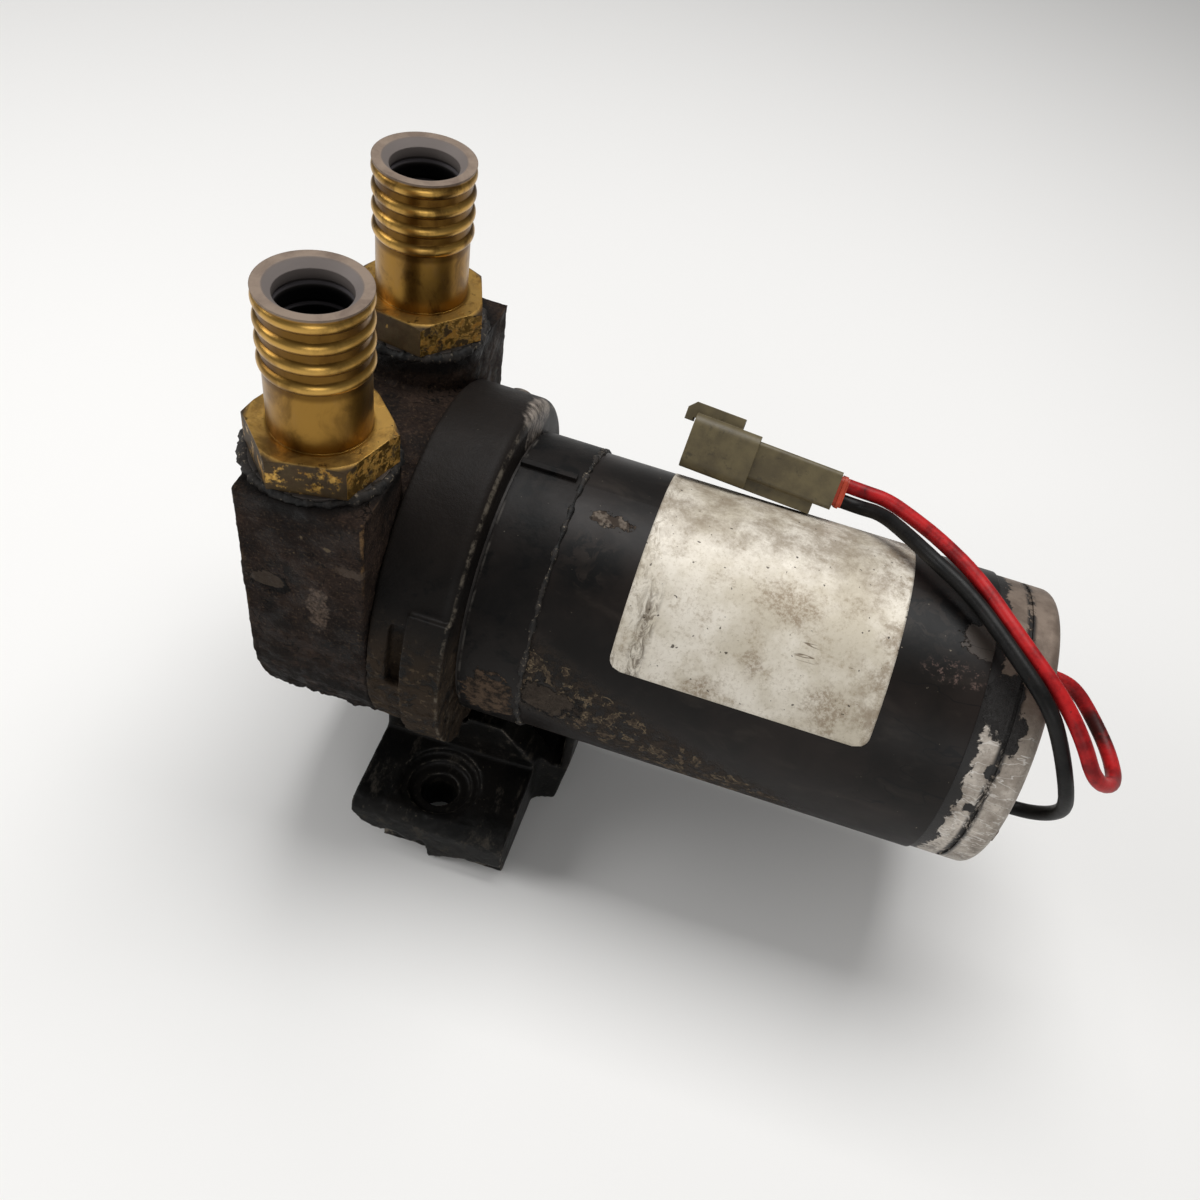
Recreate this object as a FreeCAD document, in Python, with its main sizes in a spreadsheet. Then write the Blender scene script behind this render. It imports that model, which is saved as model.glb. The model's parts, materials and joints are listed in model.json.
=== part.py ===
import FreeCAD, Part
import math
import os
import Sketcher

# Self-priming refuelling pump: a sliding-vane pump head on a direct-current motor.
# Frame: origin midway between the two foot holes on the foot's underside,
# +X along the motor towards its rear, +Y away from the near hose tail, +Z up.
# All lengths are millimetres.

Vector = FreeCAD.Vector
document = FreeCAD.newDocument("RefuellingPump")
sheet = document.addObject("Spreadsheet::Sheet", "Sizes")

# Driving dimensions
SIZES = {
    # Placing
    "axis_height": 76.5,
    "foot_to_head_rear": 18.4,
    # Clearances
    "seat_gap": 0.05,
    "run_gap": 0.06,
    "rotor_gap": 0.10,
    "soft_gap": 0.30,
    # Pump head
    "head_width": 31.3,
    "head_half_span": 49.1,
    "head_top": 52.0,
    "web_radius": 45.0,
    "port_half_pitch": 30.16,
    "port_from_front": 12.9,
    "boss_radius": 18.4,
    "port_thread_radius": 11.2,
    "port_thread_depth": 15.0,
    "passage_radius": 7.5,
    "passage_floor": 6.0,
    "head_edge_round": 0.8,
    # Front cover and its screws
    "cover_radius": 43.0,
    "cover_thickness": 6.0,
    "cover_hub_radius": 14.0,
    "cover_hub_height": 3.0,
    "screw_circle": 37.0,
    "screw_radius": 2.5,
    "screw_hole_radius": 2.75,
    "screw_head_radius": 4.5,
    "screw_head_height": 2.8,
    "screw_reach": 9.0,
    "low_screw_angle": 60.0,
    "screw_hex": 1.5,
    "cover_hub_round": 1.5,
    "cover_seal_radius": 33.1,
    "cover_seal_width": 1.3,
    "cover_seal_depth": 0.8,
    # Pumping chamber
    "liner_radius": 32.1,
    "chamber_radius": 27.0,
    "chamber_offset": 3.2,
    "chamber_width": 20.0,
    "window_half_width": 6.0,
    "window_low": 5.0,
    "window_high": 18.0,
    "window_inner": 12.0,
    "vane_thickness": 3.0,
    "vane_height": 12.0,
    "vane_slot_floor": 11.4,
    "vane_tip_round": 1.2,
    # Shafts
    "pump_shaft_radius": 6.0,
    "motor_shaft_radius": 7.0,
    "rear_journal_radius": 5.0,
    "key_width": 3.0,
    "key_height": 3.0,
    "key_length": 14.0,
    "bush_radius": 8.5,
    "bush_length": 6.0,
    # Seal housing, the disc behind the head
    "disc_radius": 49.3,
    "disc_width": 20.9,
    "disc_round": 3.5,
    "lug_radius": 51.8,
    "lug_width": 11.0,
    "lug_start_angle": 153.0,
    "lug_sweep_angle": 80.0,
    "slot_width": 4.6,
    "slot_depth": 4.5,
    "slot_low": 2.0,
    "slot_high": 18.0,
    "shaft_seal_radius": 14.0,
    "shaft_seal_width": 7.0,
    "shaft_seal_case": 3.0,
    "shaft_seal_web": 1.5,
    "shaft_seal_lip": 1.8,
    "shaft_seal_lip_edge": 2.4,
    "shaft_seal_lip_end": 3.6,
    # Relief valve inside the seal housing
    "relief_height": 28.5,
    "relief_from_front": 9.5,
    "relief_bore_radius": 5.0,
    "relief_seat_radius": 3.0,
    "relief_seat_y": 6.0,
    "relief_poppet_length": 7.0,
    "relief_travel": 3.0,
    "relief_nose_length": 3.0,
    "relief_plug_length": 9.0,
    "relief_plug_inset": 11.3,
    "relief_plug_hex": 5.0,
    "relief_spring_radius": 3.4,
    "relief_spring_wire": 0.8,
    "relief_flats": 7.6,
    "bypass_radius": 2.8,
    "bypass_near": 27.0,
    "bypass_far": 24.5,
    # Motor front bell
    "joint_gasket": 1.0,
    "joint_gasket_radius": 39.4,
    "joint_gasket_width": 5.0,
    "bell_radius": 40.8,
    "bell_width": 16.7,
    "bell_wall": 6.0,
    "bell_hub_wall": 4.0,
    "bell_bolt_pad": 4.9,
    "bell_bolt_pad_length": 9.0,
    "spigot_length": 5.0,
    "spigot_wall": 4.0,
    "rib_width": 2.0,
    "rib_height": 1.2,
    # Motor tube and end cap
    "tube_radius": 40.0,
    "tube_wall": 3.0,
    "tube_behind_commutator": 4.8,
    "cap_radius": 39.4,
    "cap_length": 17.0,
    "cap_wall": 5.5,
    "cap_hub_wall": 3.0,
    "cap_round": 3.0,
    "cap_groove_from_front": 8.0,
    "cap_groove_width": 1.0,
    "cap_groove_depth": 0.6,
    # Bearings: 12 x 28 x 8 in front, 10 x 26 x 8 behind
    "front_bearing_radius": 14.0,
    "rear_bearing_radius": 13.0,
    "bearing_width": 8.0,
    "bearing_ring": 2.4,
    "ball_radius": 1.9,
    "ball_count": 8,
    "wave_washer": 1.2,
    # Armature
    "magnet_thickness": 6.0,
    "magnet_length": 62.0,
    "magnet_angle": 130.0,
    "magnet_from_bell": 22.0,
    "core_radius": 30.2,
    "core_length": 54.0,
    "core_slots": 12,
    "slot_opening": 3.0,
    "slot_floor": 13.0,
    "coil_radius": 27.0,
    "coil_overhang": 9.0,
    "commutator_radius": 13.0,
    "commutator_length": 14.0,
    "commutator_groove": 0.6,
    "commutator_gap": 4.0,
    # Brush gear
    "brush_width": 7.0,
    "brush_thickness": 5.0,
    "brush_length": 12.0,
    "brush_card_radius": 36.0,
    "brush_card_thickness": 1.6,
    "brush_card_bore": 17.0,
    "holder_wall": 1.5,
    "brush_spring_radius": 2.0,
    "brush_spring_wire": 0.6,
    # Through bolts
    "bolt_circle": 33.6,
    "bolt_radius": 2.5,
    "bolt_head_radius": 4.6,
    "bolt_head_height": 3.2,
    # Lead grommets
    "grommet_circle": 22.0,
    "grommet_radius": 4.5,
    "grommet_flange": 5.6,
    "grommet_lip": 1.5,
    "red_grommet_angle": 84.0,
    "black_grommet_angle": 200.0,
    "lead_radius": 2.0,
    "lead_run_out": 5.0,
    # Hose tails
    "tail_top": 98.6,
    "tail_rim_radius": 12.8,
    "tail_plain_radius": 12.0,
    "tail_bore_radius": 8.6,
    "tail_mouth_radius": 10.4,
    "tail_mouth_depth": 1.8,
    "ridge_radius": 12.9,
    "ridge_half_height": 2.0,
    "ridge_pitch": 5.2,
    "ridge_first": 2.4,
    "ridge_count": 4,
    "bore_ring_depth": 0.5,
    "bore_ring_half_width": 0.8,
    "hex_across_flats": 31.6,
    "hex_height": 9.0,
    "hex_chamfer": 1.6,
    "near_hex_angle": 13.0,
    "far_hex_angle": 51.3,
    "tail_stem_radius": 11.0,
    "tail_stem_length": 14.0,
    "washer_thickness": 1.5,
    "washer_radius": 16.9,
    # Foot
    "foot_height": 18.5,
    "foot_half_length": 53.0,
    "foot_front": 22.5,
    "foot_lobe_rear": 24.8,
    "foot_middle_rear": 31.5,
    "foot_middle_half": 19.0,
    "foot_wall": 3.5,
    "foot_top_wall": 4.0,
    "foot_rib": 3.0,
    "foot_round": 4.5,
    "foot_hole_half_pitch": 39.0,
    "foot_hole_radius": 5.55,
    "foot_sink_radius": 9.35,
    "foot_sink_depth": 2.0,
    "foot_boss_radius": 12.0,
    "saddle_half_width": 25.5,
    "saddle_below_axis": 40.0,
    "saddle_level_end": 13.3,
    "saddle_slope_end": 31.0,
    "saddle_slope_low": 16.0,
    "saddle_foot": 21.0,
    "trough_start": 17.0,
    "trough_half": 15.0,
    "trough_floor": 19.0,
    "end_wall": 3.0,
    "end_lean": 2.8,
    "foot_screw_radius": 3.0,
    "foot_screw_length": 17.0,
    "foot_screw_spread": 15.0,
    "foot_screw_head_radius": 5.4,
    "foot_screw_head_height": 4.0,
    "foot_screw_hex": 5.0,
    "foot_post_wall": 5.5,
    # Rating plate, left bare
    "label_front": 41.2,
    "label_length": 67.8,
    "label_thickness": 0.15,
    "label_start_angle": 45.0,
    "label_sweep_angle": 111.0,
    # Connector
    "plug_front": 41.5,
    "plug_roll_angle": 52.0,
    "plug_pitch_angle": 3.5,
    "plug_stand_off": 42.65,
    "shroud_length": 18.5,
    "shroud_height": 15.0,
    "shroud_width": 17.5,
    "shroud_wall": 1.5,
    "shroud_depth": 17.0,
    "shroud_round": 3.0,
    "barrel_length": 23.8,
    "barrel_low": 3.1,
    "barrel_height": 10.6,
    "barrel_width": 15.0,
    "lip_length": 19.0,
    "lip_width": 12.0,
    "latch_overhang": 3.2,
    "latch_length": 16.0,
    "latch_sink": 2.6,
    "latch_height": 2.8,
    "latch_width": 8.0,
    "seal_length": 2.5,
    "seal_width": 13.0,
    "seal_height": 9.0,
    "wedge_length": 3.0,
    "pin_radius": 0.8,
    "pin_length": 9.0,
    "pin_half_pitch": 2.2,
    "wire_level": 8.5,
}


class Size:
    """A number together with the sheet formula that gives it."""

    def __init__(self, value, formula):
        self.value = float(value)
        self.formula = formula

    def join(self, sign, other, value):
        return Size(value, "(%s %s %s)" % (self.formula, sign, other.formula))

    def __add__(self, other):
        other = as_size(other)
        return self.join("+", other, self.value + other.value)

    def __sub__(self, other):
        other = as_size(other)
        return self.join("-", other, self.value - other.value)

    def __mul__(self, other):
        other = as_size(other)
        return self.join("*", other, self.value * other.value)

    def __truediv__(self, other):
        other = as_size(other)
        return self.join("/", other, self.value / other.value)

    def __radd__(self, other):
        return as_size(other) + self

    def __rsub__(self, other):
        return as_size(other) - self

    def __rmul__(self, other):
        return as_size(other) * self

    def __neg__(self):
        return as_size(0) - self


def as_size(value):
    if isinstance(value, Size):
        return value
    return Size(value, repr(float(value)))


class Named:
    """The sheet's sizes, read by name."""


def fill_sheet():
    """Write every driving dimension to the sheet and return them by name."""
    named = Named()
    for row, (alias, value) in enumerate(SIZES.items(), start=1):
        sheet.set("A%d" % row, alias)
        sheet.set("B%d" % row, str(value))
        sheet.setAlias("B%d" % row, alias)
        setattr(named, alias, Size(value, "Sizes." + alias))
    document.recompute()
    return named


s = fill_sheet()
ZERO = as_size(0)
nodes = {}


def bind(feature, prop, size):
    """Tie one property to its sheet formula."""
    feature.setExpression(prop, as_size(size).formula)


def place(feature, x=0, y=0, z=0, rotation=None):
    """Put a feature at a point given in sheet sizes."""
    point = [as_size(x), as_size(y), as_size(z)]
    base = Vector(*[coordinate.value for coordinate in point])
    feature.Placement = FreeCAD.Placement(base, rotation or FreeCAD.Rotation())
    for axis, coordinate in zip("xyz", point):
        bind(feature, "Placement.Base." + axis, coordinate)
    return feature


def keep(name, feature):
    """Record a feature as a node of the pump."""
    feature.Label = name
    nodes[name] = feature
    return feature


ALONG = {
    "+X": FreeCAD.Rotation(Vector(0, 1, 0), 90),
    "-X": FreeCAD.Rotation(Vector(0, 1, 0), -90),
    "+Y": FreeCAD.Rotation(Vector(1, 0, 0), -90),
    "-Y": FreeCAD.Rotation(Vector(1, 0, 0), 90),
    "+Z": FreeCAD.Rotation(),
    "-Z": FreeCAD.Rotation(Vector(1, 0, 0), 180),
}


def cylinder(radius, length, at, way="+Z"):
    """A round bar from a point, along one of the frame's axes."""
    bar = document.addObject("Part::Cylinder", "Bar")
    bind(bar, "Radius", radius)
    bind(bar, "Height", length)
    return place(bar, *at, rotation=ALONG[way])


def box(size, corner):
    """A block from its lowest corner."""
    block = document.addObject("Part::Box", "Block")
    for prop, length in zip(("Length", "Width", "Height"), size):
        bind(block, prop, length)
    return place(block, *corner)


def fuse(features):
    joined = document.addObject("Part::MultiFuse", "Joined")
    joined.Shapes = features
    joined.Refine = True
    return joined


def cut(base, tools):
    """Take one or more tools from a base."""
    result = document.addObject("Part::Cut", "Cut")
    result.Base = base
    result.Tool = tools[0] if len(tools) == 1 else fuse(tools)
    result.Refine = True
    return result


def common(first, second):
    shared = document.addObject("Part::MultiCommon", "Shared")
    shared.Shapes = [first, second]
    shared.Refine = True
    return shared


def group(name, shapes):
    """Separate solids that share one node."""
    feature = document.addObject("Part::Feature", name)
    feature.Shape = Part.makeCompound(shapes)
    return keep(name, feature)


def origin_plane(body, role):
    for feature in body.Origin.OriginFeatures:
        if feature.Role == role:
            return feature
    raise ValueError("no plane " + role)


def new_sketch(body, role):
    sketch = body.newObject("Sketcher::SketchObject", "Profile")
    sketch.AttachmentSupport = [(origin_plane(body, role), "")]
    sketch.MapMode = "FlatFace"
    return sketch


def pin_point(sketch, geometry, position, point):
    """Hold one end of a sketch line at its sheet position."""
    for kind, size in (("DistanceX", point[0]), ("DistanceY", point[1])):
        size = as_size(size)
        index = sketch.addConstraint(Sketcher.Constraint(kind, -1, 1, geometry, position, size.value))
        sketch.setExpression("Constraints[%d]" % index, size.formula)


def draw_polygon(sketch, points):
    """A closed outline whose corners all follow the sheet."""
    flat = [Vector(as_size(x).value, as_size(y).value, 0) for x, y in points]
    count = len(flat)
    first = sketch.GeometryCount
    for index in range(count):
        sketch.addGeometry(Part.LineSegment(flat[index], flat[(index + 1) % count]), False)
    for index in range(count):
        following = first + (index + 1) % count
        sketch.addConstraint(Sketcher.Constraint("Coincident", first + index, 2, following, 1))
    for index, point in enumerate(points):
        pin_point(sketch, first + index, 1, point)


def turned(points, x=0, y=0, z=None, name="Turned"):
    """A body of revolution about +X, from (station, radius) corners."""
    body = document.addObject("PartDesign::Body", name)
    sketch = new_sketch(body, "XZ_Plane")
    draw_polygon(sketch, points)
    turn = body.newObject("PartDesign::Revolution", "Turn")
    turn.Profile = sketch
    turn.ReferenceAxis = (sketch, ["H_Axis"])
    turn.Angle = 360
    body.Tip = turn
    return place(body, x, y, s.axis_height if z is None else z)


def padded(points, thickness, role="YZ_Plane", name="Plate"):
    """A plate with a drawn outline, thick along its plane's normal."""
    body = document.addObject("PartDesign::Body", name)
    sketch = new_sketch(body, role)
    draw_polygon(sketch, points)
    pad = body.newObject("PartDesign::Pad", "Thickness")
    pad.Profile = sketch
    bind(pad, "Length", thickness)
    body.Tip = pad
    return body


def circle_edges(shape, radius, x):
    """Names of the round edges of one radius that stand at one station."""
    found = []
    for index, edge in enumerate(shape.Edges, start=1):
        curve = edge.Curve
        if not isinstance(curve, Part.Circle):
            continue
        if abs(curve.Radius - radius) < 1e-4 and abs(curve.Center.x - x) < 1e-4:
            found.append("Edge%d" % index)
    return found


def dress_body(body, kind, prop, size, edges):
    """Add a fillet or a chamfer to the named edges of a body's tip."""
    tip = body.Tip
    feature = body.newObject("PartDesign::" + kind, kind)
    feature.Base = (tip, edges)
    bind(feature, prop, size)
    body.Tip = feature
    document.recompute()
    return feature


def soften(base, radius, wanted):
    """Round the straight or curved edges of a Part feature that a test picks out."""
    document.recompute()
    edges = []
    for index, edge in enumerate(base.Shape.Edges, start=1):
        if wanted(edge):
            edges.append((index, radius.value, radius.value))
    rounded = document.addObject("Part::Fillet", "Rounded")
    rounded.Base = base
    rounded.Edges = edges
    return rounded


def on_axis(angle, radius, x):
    """A point on a circle about the motor axis, the angle measured from +Y towards +Z."""
    turn = math.radians(angle)
    height = s.axis_height.value + radius * math.sin(turn)
    return Vector(x, radius * math.cos(turn), height)


def joined(shapes):
    """One shape of several that overlap."""
    return shapes[0].multiFuse(shapes[1:])


def bar(radius, length, start, direction=Vector(1, 0, 0)):
    return Part.makeCylinder(radius, length, start, direction)


def sector(radius, length, x, start, sweep):
    """A wedge about the motor axis, between two angles measured from +Y towards +Z."""
    corners = [on_axis(0, 0, x)]
    for step in range(5):
        corners.append(on_axis(start + sweep * step / 4, radius * 1.5, x))
    return Part.Face(Part.makePolygon(corners + corners[:1])).extrude(Vector(length, 0, 0))


def prism(across_flats, length, start, direction=Vector(1, 0, 0), turn=0.0):
    """A hexagonal bar."""
    radius = across_flats / math.sqrt(3)
    corners = []
    for index in range(7):
        angle = math.radians(60 * index + turn)
        corners.append(Vector(radius * math.cos(angle), radius * math.sin(angle), 0))
    solid = Part.Face(Part.makePolygon(corners)).extrude(Vector(0, 0, length))
    solid.Placement = FreeCAD.Placement(start, FreeCAD.Rotation(Vector(0, 0, 1), direction))
    return solid


# Stations along the motor axis
head_rear = -s.foot_to_head_rear
head_front = head_rear - s.head_width
port_x = head_front + s.port_from_front
chamber_front = head_front + s.cover_thickness
chamber_rear = chamber_front + s.chamber_width
disc_rear = head_rear + s.disc_width
bell_front = disc_rear + s.joint_gasket
bell_rear = bell_front + s.bell_width
core_start = bell_rear + s.magnet_from_bell + (s.magnet_length - s.core_length) / 2
commutator_start = core_start + s.core_length + s.coil_overhang + s.commutator_gap
tube_rear = commutator_start + s.commutator_length + s.tube_behind_commutator
tube_length = tube_rear - bell_rear
cap_rear = tube_rear + s.cap_length
tube_bore = s.tube_radius - s.tube_wall
head_crest = s.axis_height + s.head_top

# Angles of the five long screws, from +Y towards +Z
SCREW_ANGLES = [90.0, 180.0, 270.0 - SIZES["low_screw_angle"] / 2, 270.0 + SIZES["low_screw_angle"] / 2, 0.0]


def make_pump_head():
    """Cast head: round body, two port columns, chamber bore and port passages."""
    span = s.head_half_span
    around = cylinder(span, s.head_width, (head_front, 0, s.axis_height), "+X")
    lower = box((s.head_width, span * 2, span), (head_front, -span, s.axis_height - span))
    web = cylinder(s.web_radius, s.head_width, (head_front, 0, s.axis_height), "+X")
    parts = [common(around, lower), web]
    for side in (-1, 1):
        port_y = s.port_half_pitch * side
        outer = span - s.port_half_pitch
        near_corner = port_y if side > 0 else -span
        parts.append(box((s.head_width, outer, s.head_top), (head_front, near_corner, s.axis_height)))
        parts.append(cylinder(s.boss_radius, s.head_top, (port_x, port_y, s.axis_height)))
    frame = box((s.head_width, span * 2, span + s.head_top), (head_front, -span, s.axis_height - span))
    blank = common(fuse(parts), frame)

    def corner(edge):
        low, high = edge.BoundBox.ZMin, edge.BoundBox.ZMax
        upright = edge.BoundBox.YLength < 1e-6 and edge.BoundBox.XLength < 1e-6
        outside = abs(abs(edge.BoundBox.YMin) - span.value) < 1e-4
        return upright and outside and high - low > s.head_top.value / 2

    blank = soften(blank, s.head_edge_round, corner)
    tools = [
        cylinder(s.cover_radius + s.seat_gap, s.cover_thickness, (head_front, 0, s.axis_height), "+X"),
        cylinder(s.liner_radius + s.seat_gap, s.head_width, (head_front, 0, s.axis_height), "+X"),
    ]
    for side in (-1, 1):
        port_y = s.port_half_pitch * side
        tools.append(cylinder(s.port_thread_radius, s.port_thread_depth, (port_x, port_y, head_crest), "-Z"))
        tools.append(cylinder(s.passage_radius, s.head_top - s.passage_floor, (port_x, port_y, head_crest), "-Z"))
    for bypass_y in (-s.bypass_near, s.bypass_far):
        start = (head_rear, bypass_y, s.axis_height + s.relief_height)
        tools.append(cylinder(s.bypass_radius, s.head_width - s.port_from_front, start, "-X"))
    head = cut(blank, tools)
    holes = document.addObject("Part::Feature", "HeadScrewHoles")
    holes.Shape = Part.makeCompound([
        bar(s.screw_hole_radius.value, s.head_width.value, on_axis(angle, s.screw_circle.value, head_front.value))
        for angle in SCREW_ANGLES
    ])
    return keep("pump_head", cut(head, [holes]))


def make_front_cover():
    """Round cover, flush in the head, with the front bush in its hub."""
    deep = s.cover_thickness
    blind = s.bush_radius + s.seat_gap
    seal_inner = s.cover_seal_radius - s.cover_seal_width / 2
    seal_outer = s.cover_seal_radius + s.cover_seal_width / 2
    cover = turned([
        (-s.cover_hub_height, ZERO),
        (-s.cover_hub_height, s.cover_hub_radius),
        (ZERO, s.cover_hub_radius),
        (ZERO, s.cover_radius),
        (deep, s.cover_radius),
        (deep, seal_outer),
        (deep - s.cover_seal_depth, seal_outer),
        (deep - s.cover_seal_depth, seal_inner),
        (deep, seal_inner),
        (deep, blind),
        (deep - s.bush_length, blind),
        (deep - s.bush_length, ZERO),
    ], head_front, name="CoverBlank")
    document.recompute()
    rim = circle_edges(cover.Tip.Shape, s.cover_hub_radius.value, -s.cover_hub_height.value)
    dress_body(cover, "Fillet", "Radius", s.cover_hub_round, rim)
    holes = document.addObject("Part::Feature", "CoverScrewHoles")
    shapes = []
    for angle in SCREW_ANGLES:
        start = on_axis(angle, s.screw_circle.value, head_front.value)
        shapes.append(bar(s.screw_hole_radius.value, deep.value, start))
    holes.Shape = Part.makeCompound(shapes)
    keep("front_cover", cut(cover, [holes]))

    bush = turned([
        (ZERO, s.pump_shaft_radius + s.run_gap),
        (ZERO, s.bush_radius),
        (s.bush_length - s.seat_gap, s.bush_radius),
        (s.bush_length - s.seat_gap, s.pump_shaft_radius + s.run_gap),
    ], head_front + deep - s.bush_length)
    keep("front_bush", bush)

    seal = turned([
        (s.seat_gap - s.cover_seal_depth, seal_inner + s.seat_gap),
        (s.seat_gap - s.cover_seal_depth, seal_outer - s.seat_gap),
        (ZERO, seal_outer - s.seat_gap),
        (ZERO, seal_inner + s.seat_gap),
    ], chamber_front)
    keep("front_cover_seal", seal)

    screws = []
    for angle in SCREW_ANGLES:
        seat = on_axis(angle, s.screw_circle.value, head_front.value)
        shank = bar(s.screw_radius.value, s.head_width.value + s.screw_reach.value, seat)
        crown = seat - Vector(s.screw_head_height.value, 0, 0)
        cap = bar(s.screw_head_radius.value, s.screw_head_height.value, crown)
        socket = prism(2 * s.screw_hex.value, s.screw_head_height.value / 2, crown)
        screws.append(shank.fuse(cap).removeSplitter().cut(socket))
    group("front_cover_screws", screws)


def make_chamber():
    """Eccentric liner, slotted rotor, four vanes and the rear wear plate."""
    centre = s.axis_height
    outer = cylinder(s.liner_radius, s.chamber_width, (chamber_front, 0, centre), "+X")
    bore = cylinder(s.chamber_radius, s.chamber_width, (chamber_front, 0, centre - s.chamber_offset), "+X")
    windows = []
    for side in (-1, 1):
        reach = s.liner_radius - s.window_inner
        start = s.window_inner if side > 0 else -s.liner_radius
        size = (s.window_half_width * 2, reach, s.window_high - s.window_low)
        windows.append(box(size, (port_x - s.window_half_width, start, centre + s.window_low)))
    keep("cam_liner", cut(outer, [bore] + windows))

    plate_thickness = s.head_width - s.cover_thickness - s.chamber_width
    plate = turned([
        (ZERO, s.pump_shaft_radius + s.soft_gap),
        (ZERO, s.liner_radius),
        (plate_thickness, s.liner_radius),
        (plate_thickness, s.pump_shaft_radius + s.soft_gap),
    ], chamber_rear)
    keep("rear_wear_plate", plate)

    rotor_radius = s.chamber_radius - s.chamber_offset - s.rotor_gap
    width = s.chamber_width - s.rotor_gap * 2
    start = chamber_front + s.rotor_gap
    blank = cylinder(rotor_radius, width, (start, 0, centre), "+X")
    shaft_hole = cylinder(s.pump_shaft_radius, width, (start, 0, centre), "+X")
    keyway_depth = s.pump_shaft_radius + s.key_height / 2
    keyway = box((width, s.key_width, keyway_depth), (start, -s.key_width / 2, centre))
    cuts = [shaft_hole, keyway]
    slot_width = s.vane_thickness + s.rotor_gap * 2
    for index in range(4):
        slot = box((width, rotor_radius, slot_width), (start, s.vane_slot_floor, centre))
        turn = FreeCAD.Rotation(Vector(1, 0, 0), 45 + 90 * index)
        slot.Placement = turned_box_placement(turn, start.value, s.vane_slot_floor.value, slot_width.value)
        release_expressions(slot)
        cuts.append(slot)
    keep("pump_rotor", cut(blank, cuts))

    base = s.vane_slot_floor.value + s.rotor_gap.value
    for index in range(4):
        vane = box((width, s.vane_height, s.vane_thickness), (start, 0, centre))
        turn = FreeCAD.Rotation(Vector(1, 0, 0), 45 + 90 * index)
        vane.Placement = turned_box_placement(turn, start.value, base, s.vane_thickness.value)
        release_expressions(vane)
        outward = turn.multVec(Vector(0, 1, 0))
        tip_level = base + s.vane_height.value

        def at_tip(edge, outward=outward, tip_level=tip_level):
            middle = edge.CenterOfMass - Vector(0, 0, s.axis_height.value)
            along_x = abs(edge.BoundBox.XLength - width.value) < 1e-4
            return along_x and abs(middle.dot(outward) - tip_level) < 1e-3

        keep("vane_%d" % (index + 1), soften(vane, s.vane_tip_round, at_tip))

    key_start = chamber_front.value + (s.chamber_width.value - s.key_length.value) / 2
    key = document.addObject("Part::Box", "Key")
    bind(key, "Length", s.key_length)
    bind(key, "Width", s.key_width - s.seat_gap)
    bind(key, "Height", s.key_height - s.seat_gap)
    place(
        key,
        chamber_front + (s.chamber_width - s.key_length) / 2,
        -(s.key_width - s.seat_gap) / 2,
        centre + s.pump_shaft_radius - s.key_height / 2,
    )
    keep("rotor_key", key)


def turned_box_placement(turn, x, inner, thickness):
    """Placement of a block that lies radially in a rotor slot."""
    corner = Vector(x, inner, -thickness / 2)
    base = turn.multVec(corner) + Vector(0, 0, s.axis_height.value)
    return FreeCAD.Placement(base, turn)


def release_expressions(feature):
    """Leave a feature's place to its own Placement."""
    for axis in "xyz":
        feature.setExpression("Placement.Base." + axis, None)


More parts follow.
